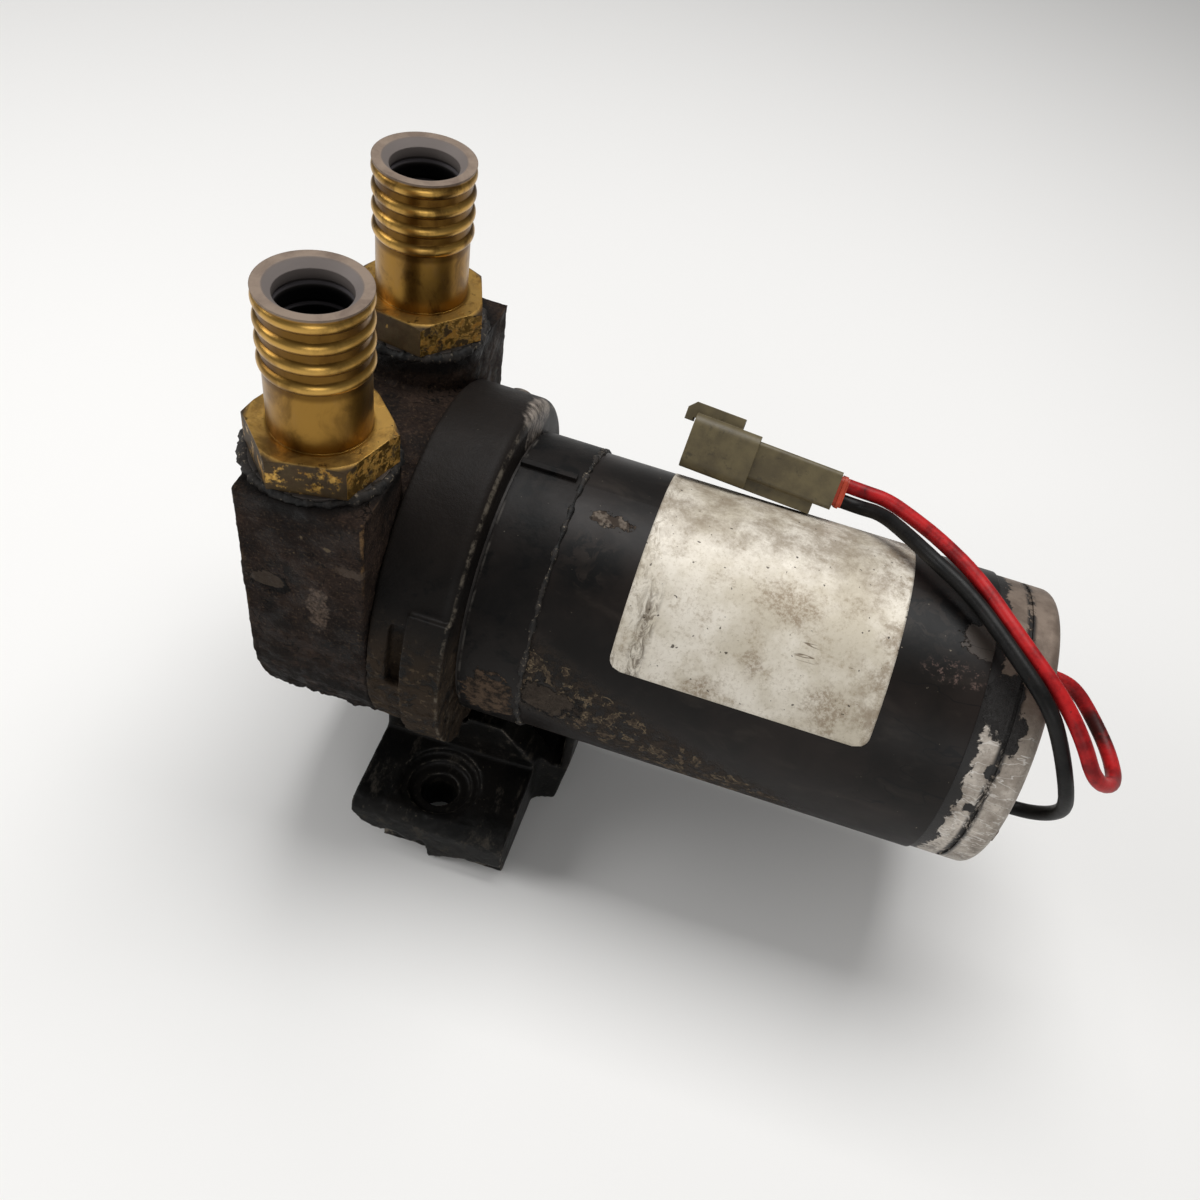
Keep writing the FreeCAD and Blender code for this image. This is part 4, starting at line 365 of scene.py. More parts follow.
def crusted_casting():
    """Painted iron under oily brown crust: a scab and a few cracks, tan where an edge is rubbed."""
    f = Finish("Crusted casting", specular=0.12)
    broad = f.noise(24, detail=5, seed=3.0)
    patch = f.noise(7, detail=7, roughness=0.68, distortion=0.4, seed=11.0)
    grit = f.noise(0.8, detail=5, roughness=0.75)
    f.base = f.mix(f.step(broad, 0.36, 0.64), (25, 18, 15), (45, 34, 28))
    f.lay(f.step(patch, 0.55, 0.66), (62, 48, 40), 0.6)
    f.lay(f.step(patch, 0.45, 0.35), (14, 11, 10), 0.9)
    f.lay(f.step(grit, 0.52, 0.66), (88, 72, 56), 0.45)
    f.lay(f.step(grit, 0.46, 0.34), (12, 10, 8), 0.7)
    # painted shade: dark blots laid over the lower part of the casting
    low = f.past(Z, AXIS_HEIGHT + 0.012, AXIS_HEIGHT - 0.014)
    f.lay(f.all_of(low, f.blots(0.36, 0.52, 5, detail=6, seed=14.0)), (11, 8, 7), 0.85)
    crack = f.all_of(f.hairs(9, 0.010, distortion=1.2, seed=2.0), f.step(broad, 0.50, 0.58))
    f.lay(crack, (9, 7, 6), 0.8)
    # on the near face: a scab with a dark outline, pale worn patches and small pale spots
    side = -49.1
    scab = f.patch((-43.5, side, 100), reach=4.2, ragged=0.45, stretch=(0.75, 1, 1.15), seed=5.0)
    inner = f.patch((-44.0, side, 100.4), reach=3.5, ragged=0.45, stretch=(0.75, 1, 1.15), seed=5.0)
    f.lay(scab, (7, 6, 5), 0.95)
    f.lay(inner, f.mix(f.noise(2, detail=5, seed=15.0), (46, 39, 33), (76, 65, 55)), 0.9)
    pale = f.patch((-30.8, side, 95.5), reach=4.4, ragged=0.6, size=3.4, stretch=(1.5, 1, 0.5),
                   seed=9.0, soft=0.3)
    f.lay(pale, f.mix(f.step(grit, 0.40, 0.60), (58, 49, 43), (104, 89, 77)), 0.75)
    wedge = f.patch((-21.6, side, 112.0), reach=2.6, size=2.4, stretch=(0.6, 1, 1.3), seed=10.0,
                    soft=0.3)
    f.lay(wedge, (82, 70, 60), 0.65)
    blot = f.patch((-42, side, 86), reach=6.5, ragged=0.6, size=5.0, seed=12.0, soft=0.5)
    f.lay(blot, (14, 12, 11), 0.75)
    spots = f.any_of(f.patch((-27.3, side, 117.7), reach=0.8, ragged=0.9, size=1.0, seed=13.0),
                     f.patch((-33.6, side, 119.4), reach=0.5, ragged=0.9, size=1.0, seed=17.0))
    f.lay(spots, (112, 97, 74), 0.55)
    specks = f.blots(0.725, 0.78, 1.3, detail=2, seed=5.0)
    f.lay(specks, (118, 102, 76), 0.6)
    scraped = f.all_of(f.edges(0.6), f.blots(0.50, 0.60, 5, detail=5, stretch=(1, 1, 0.4), seed=8.0))
    f.lay(scraped, (86, 68, 50), 0.7)
    corner = f.all_of(f.stripe(X, HEAD_HIGH.x - 0.0003, 0.0011),
                      f.stripe(Y, HEAD_LOW.y + 0.0004, 0.0022),
                      f.blots(0.40, 0.56, 3, detail=6, roughness=0.7, seed=24.0),
                      f.past(Z, AXIS_HEIGHT + 0.024, AXIS_HEIGHT + 0.046))
    f.lay(corner, (122, 94, 62), 0.75)
    port = f.maths("MINIMUM", f.off_upright(PORT_X, PORT_Y), f.off_upright(PORT_X, -PORT_Y))
    gunk = f.all_of(f.step(port, 0.0225, 0.0185), f.past(Z, HEAD_HIGH.z - 0.006, HEAD_HIGH.z - 0.002))
    f.lay(gunk, (12, 10, 9), 0.9)
    wet = f.blots(0.42, 0.62, 6, detail=4, seed=21.0)
    f.surface(f.less(f.between(wet, 0.84, 0.56), f.times(gunk, 0.2)))
    height = f.plus(f.times(grit, 0.42), f.times(patch, 0.9))
    height = f.less(height, f.times(crack, 0.5))
    height = f.plus(height, f.times(scab, 0.9))
    f.relief(height, 0.85)
    return f.material


def housing_paint():
    """Black paint on the seal housing: satin above with a painted sheen, scabby low down, bare at its
    top rear corner; the pale streaks there and along the rear rim are partly painted glint.
    """
    f = Finish("Housing paint", specular=0.12)
    broad = f.noise(20, detail=5, seed=1.0)
    patch = f.noise(6, detail=7, roughness=0.70, distortion=0.5, seed=6.0)
    fine = f.noise(1.0, detail=5, roughness=0.7)
    f.base = f.mix(f.step(broad, 0.38, 0.64), (11, 9, 8), (22, 19, 17))
    f.lay(f.blots(0.54, 0.66, 4, detail=6, roughness=0.7, seed=16.0), (8, 8, 8), 0.8)
    # painted sheen: the upper part of the housing lightened, as light from above would show it
    top = f.past(Z, AXIS_HEIGHT + 0.026, AXIS_HEIGHT + 0.042)
    f.lay(top, (38, 32, 28), 0.35)
    low = f.past(Z, AXIS_HEIGHT + 0.024, AXIS_HEIGHT + 0.004)
    rust = f.all_of(low, f.step(patch, 0.36, 0.52))
    f.lay(rust, (50, 40, 30), 0.9)
    f.lay(f.all_of(low, f.step(patch, 0.44, 0.34)), (15, 13, 11), 0.85)
    f.lay(f.all_of(rust, f.blots(0.56, 0.66, 2.0, detail=5, seed=26.0)), (92, 78, 60), 0.55)
    # bare metal worn through at the top rear corner; its pale streaks are also a painted glint on the
    # top
    streaks = f.noise(2.2, detail=6, roughness=0.72, stretch=(0.4, 1, 1), seed=9.0)
    bare = f.patch((3.0, 19, 119.8), reach=9.0, ragged=0.35, size=4.0, stretch=(1.9, 0.62, 0.8),
                   seed=4.0, soft=0.5)
    f.lay(bare, f.mix(f.step(streaks, 0.36, 0.62), (54, 47, 43), (150, 140, 130)))
    # a pale line along the rear edge: partly worn paint, partly a painted glint
    rim = f.all_of(f.stripe(X, DISC_HIGH.x - 0.0007, 0.0012),
                   f.blots(0.44, 0.62, 3, detail=7, roughness=0.8, seed=12.0))
    f.lay(rim, (112, 104, 92), 0.6)
    specks = f.blots(0.74, 0.79, 1.2, detail=2, seed=15.0)
    f.lay(specks, (126, 116, 100), 0.6)
    f.surface(f.plus(f.between(f.noise(7, detail=4, seed=2.0), 0.42, 0.62), f.times(rust, 0.3)))
    height = f.plus(f.times(fine, 0.20), f.all_of(patch, rust))
    f.relief(height, 0.55)
    return f.material


def bell_enamel():
    """Satin black over the motor's front bell, with one peeled brown patch low on the near side and a
    painted glint along its front edge.
    """
    f = Finish("Bell enamel", specular=0.15)
    broad = f.noise(18, detail=5, seed=7.0)
    f.base = f.mix(f.step(broad, 0.36, 0.66), (12, 10, 9), (26, 22, 20))
    dark = f.blots(0.52, 0.62, 8, detail=5, roughness=0.6, distortion=0.4, seed=19.0)
    f.lay(dark, (5, 5, 5), 0.9)
    # the peeled patch and its dark rim
    shape = f.noise(3.4, detail=7, roughness=0.72, distortion=0.6, seed=23.0)
    middle = (0.0120, -0.0405, 0.0700)
    field = f.less(shape, f.times(f.distance(middle, (1, 1, 0.62)), 62.0))
    peeled, rim = f.outlined(field, 0.06, 0.022)
    mottle = f.blots(0.40, 0.60, 2.4, detail=7, roughness=0.75, seed=27.0)
    f.lay(peeled, f.mix(mottle, (34, 27, 21), (84, 68, 54)))
    f.lay(rim, (14, 12, 11), 0.85)
    # painted glint: a thin pale line, broken in places, along the bell's front edge
    ring = f.all_of(f.stripe(X, BELL_LOW.x + 0.0004, 0.0009),
                    f.blots(0.42, 0.60, 6, detail=4, seed=31.0))
    f.lay(ring, (84, 80, 75), 0.6)
    specks = f.blots(0.745, 0.79, 1.2, detail=2, seed=33.0)
    f.lay(specks, (130, 124, 110), 0.6)
    f.surface(f.plus(f.between(f.noise(9, detail=4, seed=35.0), 0.38, 0.58), f.times(peeled, 0.3)))
    height = f.times(f.noise(2.0, detail=5), 0.25)
    height = f.less(height, f.all_of(peeled, f.noise(2.4, detail=5, seed=27.0)))
    f.relief(height, 0.28, round_edges=0.35)
    return f.material


def motor_enamel():
    """Semi-gloss black enamel with smears that are partly painted sheen, scuffs and, low on the near
    side, painted shade and flaking rust.
    """
    f = Finish("Motor enamel", specular=0.18)
    broad = f.noise(30, detail=5, seed=7.0)
    smear_and_sheen = f.noise(11, detail=6, distortion=0.8, stretch=(0.5, 1, 1), seed=13.0)
    f.base = f.mix(f.step(broad, 0.35, 0.68), (17, 14, 12), (33, 27, 24))
    # lighter smears: partly real smears, partly a painted sheen on the enamel
    f.lay(f.step(smear_and_sheen, 0.50, 0.70), (50, 44, 39), 0.5)
    # black blots behind the bell and behind the plate
    by_bell = f.patch((29, -20, 110), reach=11, ragged=0.3, size=5.0, seed=3.0, soft=0.6)
    by_plate = f.patch((117, -8, 115), reach=14, ragged=0.3, size=6.0, stretch=(0.8, 1, 1),
                       seed=5.0, soft=0.6)
    blots = f.all_of(f.any_of(by_bell, by_plate),
                     f.blots(0.45, 0.52, 5, detail=6, roughness=0.65, distortion=0.8, seed=15.0))
    f.lay(blots, (6, 6, 6), 0.9)
    # the band of flaking rust, which falls towards the rear, and a second one low down
    fall, level = 0.40, 0.0915
    off = f.maths("ABSOLUTE", f.less(f.plus(f.along(Z), f.times(f.along(X), fall)), level))
    near = f.past(Y, -0.018, -0.030)
    band = f.all_of(f.step(off, 0.0150, 0.0075), near, f.past(X, 0.112, 0.085))
    low = f.all_of(f.past(Z, 0.0600, 0.0500), near, f.past(X, 0.132, 0.112))
    zone = f.any_of(band, f.times(low, 0.95))
    # painted shade: the lower near side of the tube darkened
    f.lay(f.all_of(near, f.past(Z, 0.0800, 0.0500)), (15, 12, 11), 0.8)
    flakes = f.noise(3.6, detail=5, roughness=0.60, distortion=0.3, seed=4.0)
    field = f.plus(flakes, f.times(f.less(zone, 1.0), 0.30))
    spots, rings = f.outlined(field, 0.545, 0.018)
    grime = f.all_of(f.blots(0.40, 0.58, 3, detail=7, roughness=0.75, seed=20.0), zone)
    f.lay(grime, (60, 50, 41), 0.65)
    rust = f.mix(f.blots(0.38, 0.62, 1.4, detail=5, seed=21.0), (34, 28, 23), (84, 71, 57))
    f.lay(spots, rust, 0.9)
    f.lay(f.all_of(rings, f.blots(0.38, 0.52, 4, detail=3, seed=24.0)), (136, 119, 94), 0.85)
    # a large blister beside the bell, and a chip above it
    scab = f.patch((28.0, -39.6, 76.0), reach=6.6, size=3.5, stretch=(0.8, 1, 1), seed=22.0)
    scab_face = f.patch((28.0, -39.6, 76.4), reach=5.9, size=3.5, stretch=(0.8, 1, 1), seed=22.0)
    f.lay(scab, (12, 10, 9), 0.95)
    f.lay(scab_face, f.mix(f.noise(1.5, detail=5, seed=11.0), (44, 37, 31), (76, 65, 55)), 0.9)
    chip = f.patch((31.2, -9.0, 115.5), reach=3.0, ragged=0.75, size=2.6, stretch=(0.60, 1.25, 1.2),
                   seed=25.0)
    bare = f.mix(f.blots(0.42, 0.60, 2.0, detail=5, seed=28.0), (58, 49, 42), (108, 98, 88))
    f.lay(chip, bare)
    # a flake of bare metal and reddish scuffs near the rear
    flake = f.patch((129, -9.5, 115), reach=5.6, ragged=0.55, size=4.0, seed=30.0)
    f.lay(flake, (70, 63, 58), 0.9)
    scuff_zone = f.patch((124.0, -19.5, 111.0), reach=10.0, ragged=0.2, stretch=(0.9, 2.4, 2.4),
                         seed=32.0, soft=0.5)
    scuffs = f.all_of(scuff_zone, f.blots(0.52, 0.64, 1.6, detail=6, roughness=0.8, seed=34.0))
    f.lay(scuffs, (120, 98, 90), 0.6)
    lines = f.hairs(14, 0.005, stretch=(0.4, 1, 1), seed=36.0)
    f.lay(f.all_of(lines, f.past(X, 0.106, 0.118)), (9, 9, 10), 0.8)
    dust = f.blots(0.745, 0.79, 1.4, detail=2, seed=19.0)
    f.lay(dust, (150, 140, 122), 0.55)
    worn = f.any_of(spots, grime, scab, chip, scuffs)
    sheen = f.between(f.noise(8, detail=5, seed=23.0), 0.34, 0.52)
    f.surface(f.plus(sheen, f.times(worn, 0.35), clamp=True))
    height = f.all_of(f.any_of(spots, f.times(grime, 0.5)), f.plus(f.noise(1.2, detail=4), 0.6))
    height = f.plus(height, f.all_of(scab, f.plus(f.noise(2.6, detail=4, seed=6.0), 0.9)))
    height = f.less(height, f.times(f.any_of(chip, flake), 0.5))
    height = f.plus(height, f.times(f.noise(7, detail=3, seed=29.0), 0.15))
    f.relief(height, 0.36, round_edges=0.4)
    return f.material


def end_cap_metal():
    """Bare cast aluminium, bright on the near side and grey-brown on top, with torn black paint."""
    f = Finish("End cap metal", specular=0.35)
    grain = f.noise(1.0, detail=6, roughness=0.75)
    cloud = f.noise(10, detail=6, roughness=0.65, seed=31.0)
    bright = f.mix(f.step(cloud, 0.36, 0.64), (138, 128, 117), (198, 189, 178))
    bright = f.over(bright, f.step(grain, 0.52, 0.66), (108, 100, 92), 0.5)
    rim = f.step(f.facing(X), 0.75, 0.45)
    scores = f.all_of(rim, f.hairs(3.0, 0.020, stretch=(0.35, 1, 1), seed=33.0))
    bright = f.over(bright, scores, (232, 228, 222), 0.45)
    brown = f.mix(f.step(cloud, 0.36, 0.66), (104, 90, 79), (136, 121, 108))
    top = f.step(f.plus(f.along(Z), f.times(f.along(Y), 0.5)), AXIS_HEIGHT + 0.010, AXIS_HEIGHT + 0.024)
    f.base = f.mix(top, bright, brown)
    # black paint: a torn band along the front edge, a wrinkled patch and scraps in the groove
    ragged = f.noise(6, detail=7, roughness=0.74, distortion=0.9, seed=37.0)
    inward = f.less(f.along(X), TUBE_HIGH.x)
    torn = f.step(f.less(f.times(ragged, 0.0105), inward), 0.0020, 0.0024)
    groove = f.all_of(f.stripe(X, CAP_GROOVE, 0.0034), f.step(ragged, 0.44, 0.52))
    wrinkled = f.patch((137.5, -22.5, 108.5), reach=6.2, ragged=0.4, size=4.0,
                       stretch=(1.25, 0.75, 0.75), seed=39.0)
    tail = f.patch((141.6, -27.5, 104.5), reach=3.4, stretch=(1.2, 0.6, 0.6), seed=40.0)
    spots = f.any_of(f.patch((139.7, -34.0, 96.4), reach=1.9, ragged=0.7, size=2.0, seed=42.0),
                     f.patch((138.4, -38.4, 85.5), reach=1.7, ragged=0.7, size=2.0, seed=44.0))
    low = f.all_of(rim, f.past(Z, 0.0640, 0.0480), f.step(ragged, 0.47, 0.56))
    paint = f.any_of(torn, groove, wrinkled, tail, spots, low)
    f.lay(paint, f.mix(f.noise(3, detail=4, seed=46.0), (14, 13, 12), (36, 32, 30)))
    stain = f.all_of(f.blots(0.54, 0.66, 4, detail=6, roughness=0.7, seed=48.0),
                     f.past(Z, 0.084, 0.062))
    f.lay(stain, (70, 60, 50), 0.65)
    f.metal(f.between(paint, 0.30, 0.0))
    f.surface(f.between(f.times(f.plus(grain, top), 0.5), 0.36, 0.66))
    wrinkle = f.all_of(f.any_of(wrinkled, tail),
                       f.noise(1.6, detail=5, roughness=0.6, distortion=2.0, seed=50.0))
    height = f.plus(f.times(wrinkle, 1.6), f.times(paint, 0.5))
    f.relief(f.plus(height, f.times(grain, 0.28)), 0.35, round_edges=0.3)
    return f.material


def tail_brass(name, port_y, golden, grimy):
    """Tarnished brass: crests lightened as painted highlight, grooves darkened as painted shade, a grey
    end face, and a bore darkened inside as painted shade with painted highlights on its rings.

    Golden is how much of it is untarnished, and grimy how dirty its hexagon is, 0 to 1."""
    f = Finish(name, metallic=1.0, specular=0.25)
    radius = f.off_upright(PORT_X, port_y)
    crest_highlight = f.step(radius, STEM_RADIUS, CREST_RADIUS)
    cloud = f.noise(8, detail=6, roughness=0.65, distortion=0.4, stretch=(1, 1, 0.7), seed=port_y * 900)
    fine = f.noise(1.2, detail=5, roughness=0.7, seed=2.0)
    # painted highlight: the ridge crests get a lighter brass than the stem
    f.base = f.mix(crest_highlight, (148, 112, 52), (192, 152, 80))
    f.lay(f.step(cloud, 0.46, 0.66), (88, 62, 28), 0.95 - golden)
    f.lay(f.blots(0.54, 0.72, 6, detail=5, stretch=(1, 1, 0.5), seed=41.0), (138, 108, 70), 0.35)
    # painted shade: the hollows between the ridges darkened
    groove_shade = f.all_of(f.step(radius, 0.0128, 0.0119), f.past(Z, RIDGES_START, RIDGES_START + 0.0015))
    f.lay(groove_shade, (72, 46, 16), 0.65)
    # the hexagon: grey-brown grime on its front faces, golden and black on the others
    side = f.all_of(f.past(Z, HEX_TOP, HEX_TOP - 0.0010), f.step(radius, 0.0125, 0.0130))
    front = f.step(f.facing(X), 0.80, 0.55)
    dirt = f.noise(6.0, detail=7, roughness=0.68, seed=43.0 + port_y * 50)
    cover = f.plus(dirt, f.times(front, 0.12 + 0.05 * grimy))
    black = f.all_of(f.step(f.plus(cover, 0.05 * grimy), 0.56, 0.62), side)
    ochre = f.all_of(f.blots(0.50, 0.58, 2.6, detail=6, roughness=0.75, seed=45.0), side)
    top_face = f.all_of(f.past(Z, HEX_TOP + 0.0014, HEX_TOP + 0.0007), f.step(radius, 0.0122, 0.0126))
    stain = f.all_of(top_face, f.blots(0.60, 0.68, 3.0, detail=6, roughness=0.7, seed=52.0))
    f.lay(ochre, (176, 120, 40), 0.35 + 0.3 * grimy)
    f.lay(black, f.mix(f.step(dirt, 0.40, 0.66), (52, 42, 30), (18, 13, 9)), 0.92)
    f.lay(stain, (44, 30, 16), 0.8)
    pits = f.blots(0.74, 0.79, 0.9, detail=2, seed=47.0)
    f.lay(pits, (36, 25, 14))
    top = f.past(Z, TAIL_HIGH.z - 0.0009, TAIL_HIGH.z - 0.0004)
    inside = f.step(radius, BORE_RADIUS + 0.0007, BORE_RADIUS)
    grey = f.mix(f.step(cloud, 0.4, 0.7), (136, 120, 106), (110, 95, 84))
    # painted shade: the bore goes from grey at its mouth to near black deeper in
    deep_shade = f.past(Z, TAIL_HIGH.z - 0.0020, TAIL_HIGH.z - 0.0070)
    bore = f.mix(deep_shade, (120, 112, 108), (10, 9, 11))
    # painted highlights: pale lines at the bore's rings, where their edges catch the light
    rings = f.any_of(*[f.stripe(Z, TAIL_HIGH.z - depth, 0.0010) for depth in BORE_RINGS])
    bore = f.over(bore, rings, (96, 92, 96), 0.7)
    dull = f.any_of(f.all_of(top, f.step(radius, BORE_RADIUS - 0.0006, BORE_RADIUS)), inside)
    f.lay(dull, f.mix(inside, grey, bore))
    matt = f.any_of(f.times(black, 0.9), f.times(ochre, 0.5), f.times(dull, 0.8))
    f.metal(f.less(1.0, matt))
    f.surface(f.plus(f.between(cloud, 0.24, 0.40), f.times(matt, 0.36), clamp=True))
    height = f.plus(f.times(fine, 0.25), f.times(f.any_of(black, ochre), 0.6))
    f.relief(f.less(height, f.times(pits, 0.6)), 0.12, round_edges=0.35)
    return f.material


def foot_moulding():
    """Black plastic, damp and dusty, with pale scuffs along its edges."""
    f = Finish("Foot moulding", specular=0.15)
    cloud = f.noise(16, detail=5, seed=51.0)
    f.base = f.mix(f.step(cloud, 0.35, 0.7), (9, 9, 8), (23, 21, 19))
    edge = f.all_of(f.edges(0.7), f.blots(0.46, 0.60, 3, detail=6, roughness=0.7, seed=53.0))
    f.lay(edge, (122, 114, 102), 0.8)
    rub = f.blots(0.54, 0.68, 5, detail=7, roughness=0.78, stretch=(1, 0.4, 1), seed=57.0)
    f.lay(rub, (74, 68, 60), 0.6)
    specks = f.blots(0.735, 0.785, 1.1, detail=2, seed=58.0)
    f.lay(specks, (120, 112, 92), 0.6)
    f.surface(f.plus(f.between(f.noise(5, detail=5, seed=59.0), 0.32, 0.56), f.times(rub, 0.2)))
    height = f.plus(f.times(f.noise(1.0, detail=5, roughness=0.75), 0.8), f.times(rub, 0.4))
    f.relief(height, 0.16)
    return f.material


def aged_foil():
    """The bare plate's foil: uneven cream with brown stains, grime, specks and hair scratches."""
    f = Finish("Aged foil", specular=0.35)
    cloud = f.noise(22, detail=7, roughness=0.62, seed=61.0)
    blotch = f.noise(8, detail=7, roughness=0.76, distortion=0.15, seed=63.0)
    speck = f.noise(1.0, detail=6, roughness=0.8, seed=65.0)
    f.base = f.mix(f.step(cloud, 0.38, 0.62), (196, 187, 169), (224, 217, 204))
    f.lay(f.step(speck, 0.50, 0.66), (166, 155, 134), 0.5)
    stain = f.all_of(f.step(blotch, 0.50, 0.66), f.between(f.step(speck, 0.42, 0.58), 0.30, 1.0))
    f.lay(stain, (146, 129, 104), 0.55)
    # grime: swirled at the front end, a dark streak behind it, smears along the top and the rear
    swirl = f.noise(3.0, detail=8, roughness=0.76, distortion=0.9, stretch=(1.7, 0.7, 0.7), seed=66.0)
    front = f.past(X, LABEL_LOW.x + 0.0085, LABEL_LOW.x + 0.0005)
    f.lay(f.all_of(front, f.step(swirl, 0.46, 0.66)), (112, 97, 77), 0.65)
    streak = f.all_of(f.stripe(X, LABEL_LOW.x + 0.0062, 0.0060), f.step(swirl, 0.42, 0.60),
                      f.past(Z, 0.113, 0.106))
    f.lay(streak, (84, 70, 54), 0.8)
    above = f.past(Y, -0.016, 0.004)
    f.lay(f.all_of(above, f.step(blotch, 0.34, 0.60)), (136, 122, 104), 0.7)
    rear = f.past(X, LABEL_HIGH.x - 0.012, LABEL_HIGH.x - 0.001)
    f.lay(f.all_of(rear, f.step(blotch, 0.44, 0.60)), (124, 106, 84), 0.6)
    widest = f.patch((80, -17, 112.5), reach=9.0, ragged=0.6, size=5.0, stretch=(0.8, 1, 1),
                     seed=68.0, soft=0.7)
    brown = f.any_of(widest,
                     f.patch((65.3, -35.7, 94.5), reach=5.0, ragged=0.6, size=4.0, seed=70.0, soft=0.7),
                     f.patch((97, -33, 99), reach=8.0, ragged=0.6, size=4.0, seed=72.0, soft=0.7),
                     f.patch((76, -30, 103), reach=4.0, ragged=0.6, size=4.0, seed=79.0, soft=0.7))
    f.lay(f.all_of(brown, f.between(f.step(speck, 0.42, 0.56), 0.30, 1.0)), (120, 98, 72), 0.6)
    scratches = f.all_of(f.hairs(5, 0.012, stretch=(0.16, 1, 1), seed=67.0),
                         f.patch((88, -25, 108), reach=4.2, ragged=0.2, seed=60.0, soft=0.5))
    f.lay(scratches, (104, 88, 68), 0.8)
    crease = f.all_of(f.patch((85, -5, 116.2), reach=6.0, ragged=0.10, size=5.0, seed=74.0, soft=0.5),
                      f.hairs(40, 0.0030, stretch=(0.5, 1, 1), seed=62.0))
    f.lay(crease, (236, 230, 220), 0.8)
    dots = f.blots(0.73, 0.765, 1.5, detail=1, seed=69.0)
    f.lay(dots, (52, 42, 34), 0.85)
    f.metal(f.between(stain, 0.18, 0.04))
    f.surface(f.between(f.noise(6, detail=5, seed=71.0), 0.44, 0.70))
    height = f.plus(f.times(crease, 0.8), f.times(f.noise(5, detail=5, seed=75.0), 0.7))
    height = f.plus(height, f.times(swirl, 0.3))
    f.relief(f.less(height, f.times(scratches, 0.5)), 0.14)
    return f.material


def dried_sealant(name):
    """Dark, cracked, lumpy sealant with pale grit in it."""
    f = Finish(name, specular=0.35)
    cloud = f.noise(5, detail=5, seed=76.0)
    f.base = f.mix(f.step(cloud, 0.38, 0.64), (12, 11, 10), (40, 35, 31))
    grit = f.blots(0.58, 0.66, 1.0, detail=4, roughness=0.7, seed=77.0)
    f.lay(f.all_of(grit, f.step(cloud, 0.42, 0.54)), (142, 130, 112), 0.8)
    f.surface(f.between(cloud, 0.42, 0.80))
    f.relief(f.noise(0.9, detail=5, roughness=0.7, seed=78.0), 0.25)
    return f.material


def insulation(name, pale, dark, stains=()):
    """Lead insulation with rubbed dirt, and darker stretches round each stain's centre."""
    f = Finish(name, specular=0.18, coat=0.03, coat_roughness=0.3)
    cloud = f.noise(7, detail=5, roughness=0.65, seed=81.0)
    f.base = f.mix(f.step(cloud, 0.38, 0.66), pale, dark)
    for centre, reach in stains:
        near = f.step(f.distance(centre), reach, reach * 0.45)
        f.lay(f.times(near, f.step(cloud, 0.26, 0.54)), (58, 20, 18))
    dots = f.blots(0.64, 0.70, 1.4, detail=3, seed=83.0)
    f.lay(dots, (38, 24, 22), 0.5)
    f.surface(f.between(f.noise(4, detail=4, seed=85.0), 0.34, 0.58))
    f.relief(f.noise(1.6, detail=4, seed=87.0), 0.10)
    return f.material


def moulded(name, pale, dark, dirt, rough=(0.42, 0.62), scuffed=0.4):
    """A moulded or pressed piece: two tones, dirt in patches, paler edges."""
    f = Finish(name)
    cloud = f.noise(8, detail=5, seed=91.0)
    f.base = f.mix(f.step(cloud, 0.35, 0.68), dark, pale)
    f.lay(f.blots(0.56, 0.70, 3, detail=6, seed=93.0), dirt, 0.6)
    paler = [min(1.0, part * 1.7) for part in tone(*pale)]
    f.lay(f.edges(0.4), paler, scuffed)
    f.surface(f.between(f.noise(2.5, detail=4, seed=95.0), *rough))
    f.relief(f.noise(0.9, detail=4, seed=97.0), 0.05, round_edges=0.25)
    return f.material


def machined(name, pale, dark, rough=(0.18, 0.42)):
    """A metal piece with tool marks, dull patches and rounded edges."""
    f = Finish(name, metallic=1.0)
    marks = f.noise(1.2, detail=5, seed=101.0)
    cloud = f.noise(10, detail=5, seed=103.0)
    f.base = f.mix(f.times(f.plus(marks, cloud), 0.5), dark, pale)
    f.surface(f.between(cloud, *rough))
    f.relief(marks, 0.03, round_edges=0.2)
    return f.material


def rusted(name, pale, dark):
    """Plated steel that has gone dull, with rust and oily dirt in patches."""
    f = Finish(name, specular=0.3)
    patch = f.noise(3.5, detail=7, roughness=0.7, seed=105.0)
    grain = f.noise(0.9, detail=5, roughness=0.75, seed=107.0)
    f.base = f.mix(f.blots(0.36, 0.64, 9, detail=5, seed=109.0), dark, pale)
    rust = f.step(patch, 0.47, 0.58)
    dirt = f.step(patch, 0.45, 0.36)
    f.lay(rust, f.mix(f.step(grain, 0.40, 0.60), (58, 36, 22), (104, 68, 42)), 0.85)
    f.lay(dirt, (30, 26, 23), 0.85)
    f.metal(f.between(f.any_of(rust, dirt), 0.9, 0.05))
    f.surface(f.plus(f.between(grain, 0.34, 0.52), f.times(rust, 0.25)))
    f.relief(f.plus(f.times(grain, 0.3), f.times(rust, 0.6)), 0.10, round_edges=0.25)
    return f.material


# Pieces

def add_piece(name, form, finish):
    """A new object from a mesh or curve, with one finish, that rides on the pump."""
    piece = bpy.data.objects.new(name, form)
    bpy.context.scene.collection.objects.link(piece)
    form.materials.clear()
    form.materials.append(finish)
    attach(piece, "pump")
    return piece


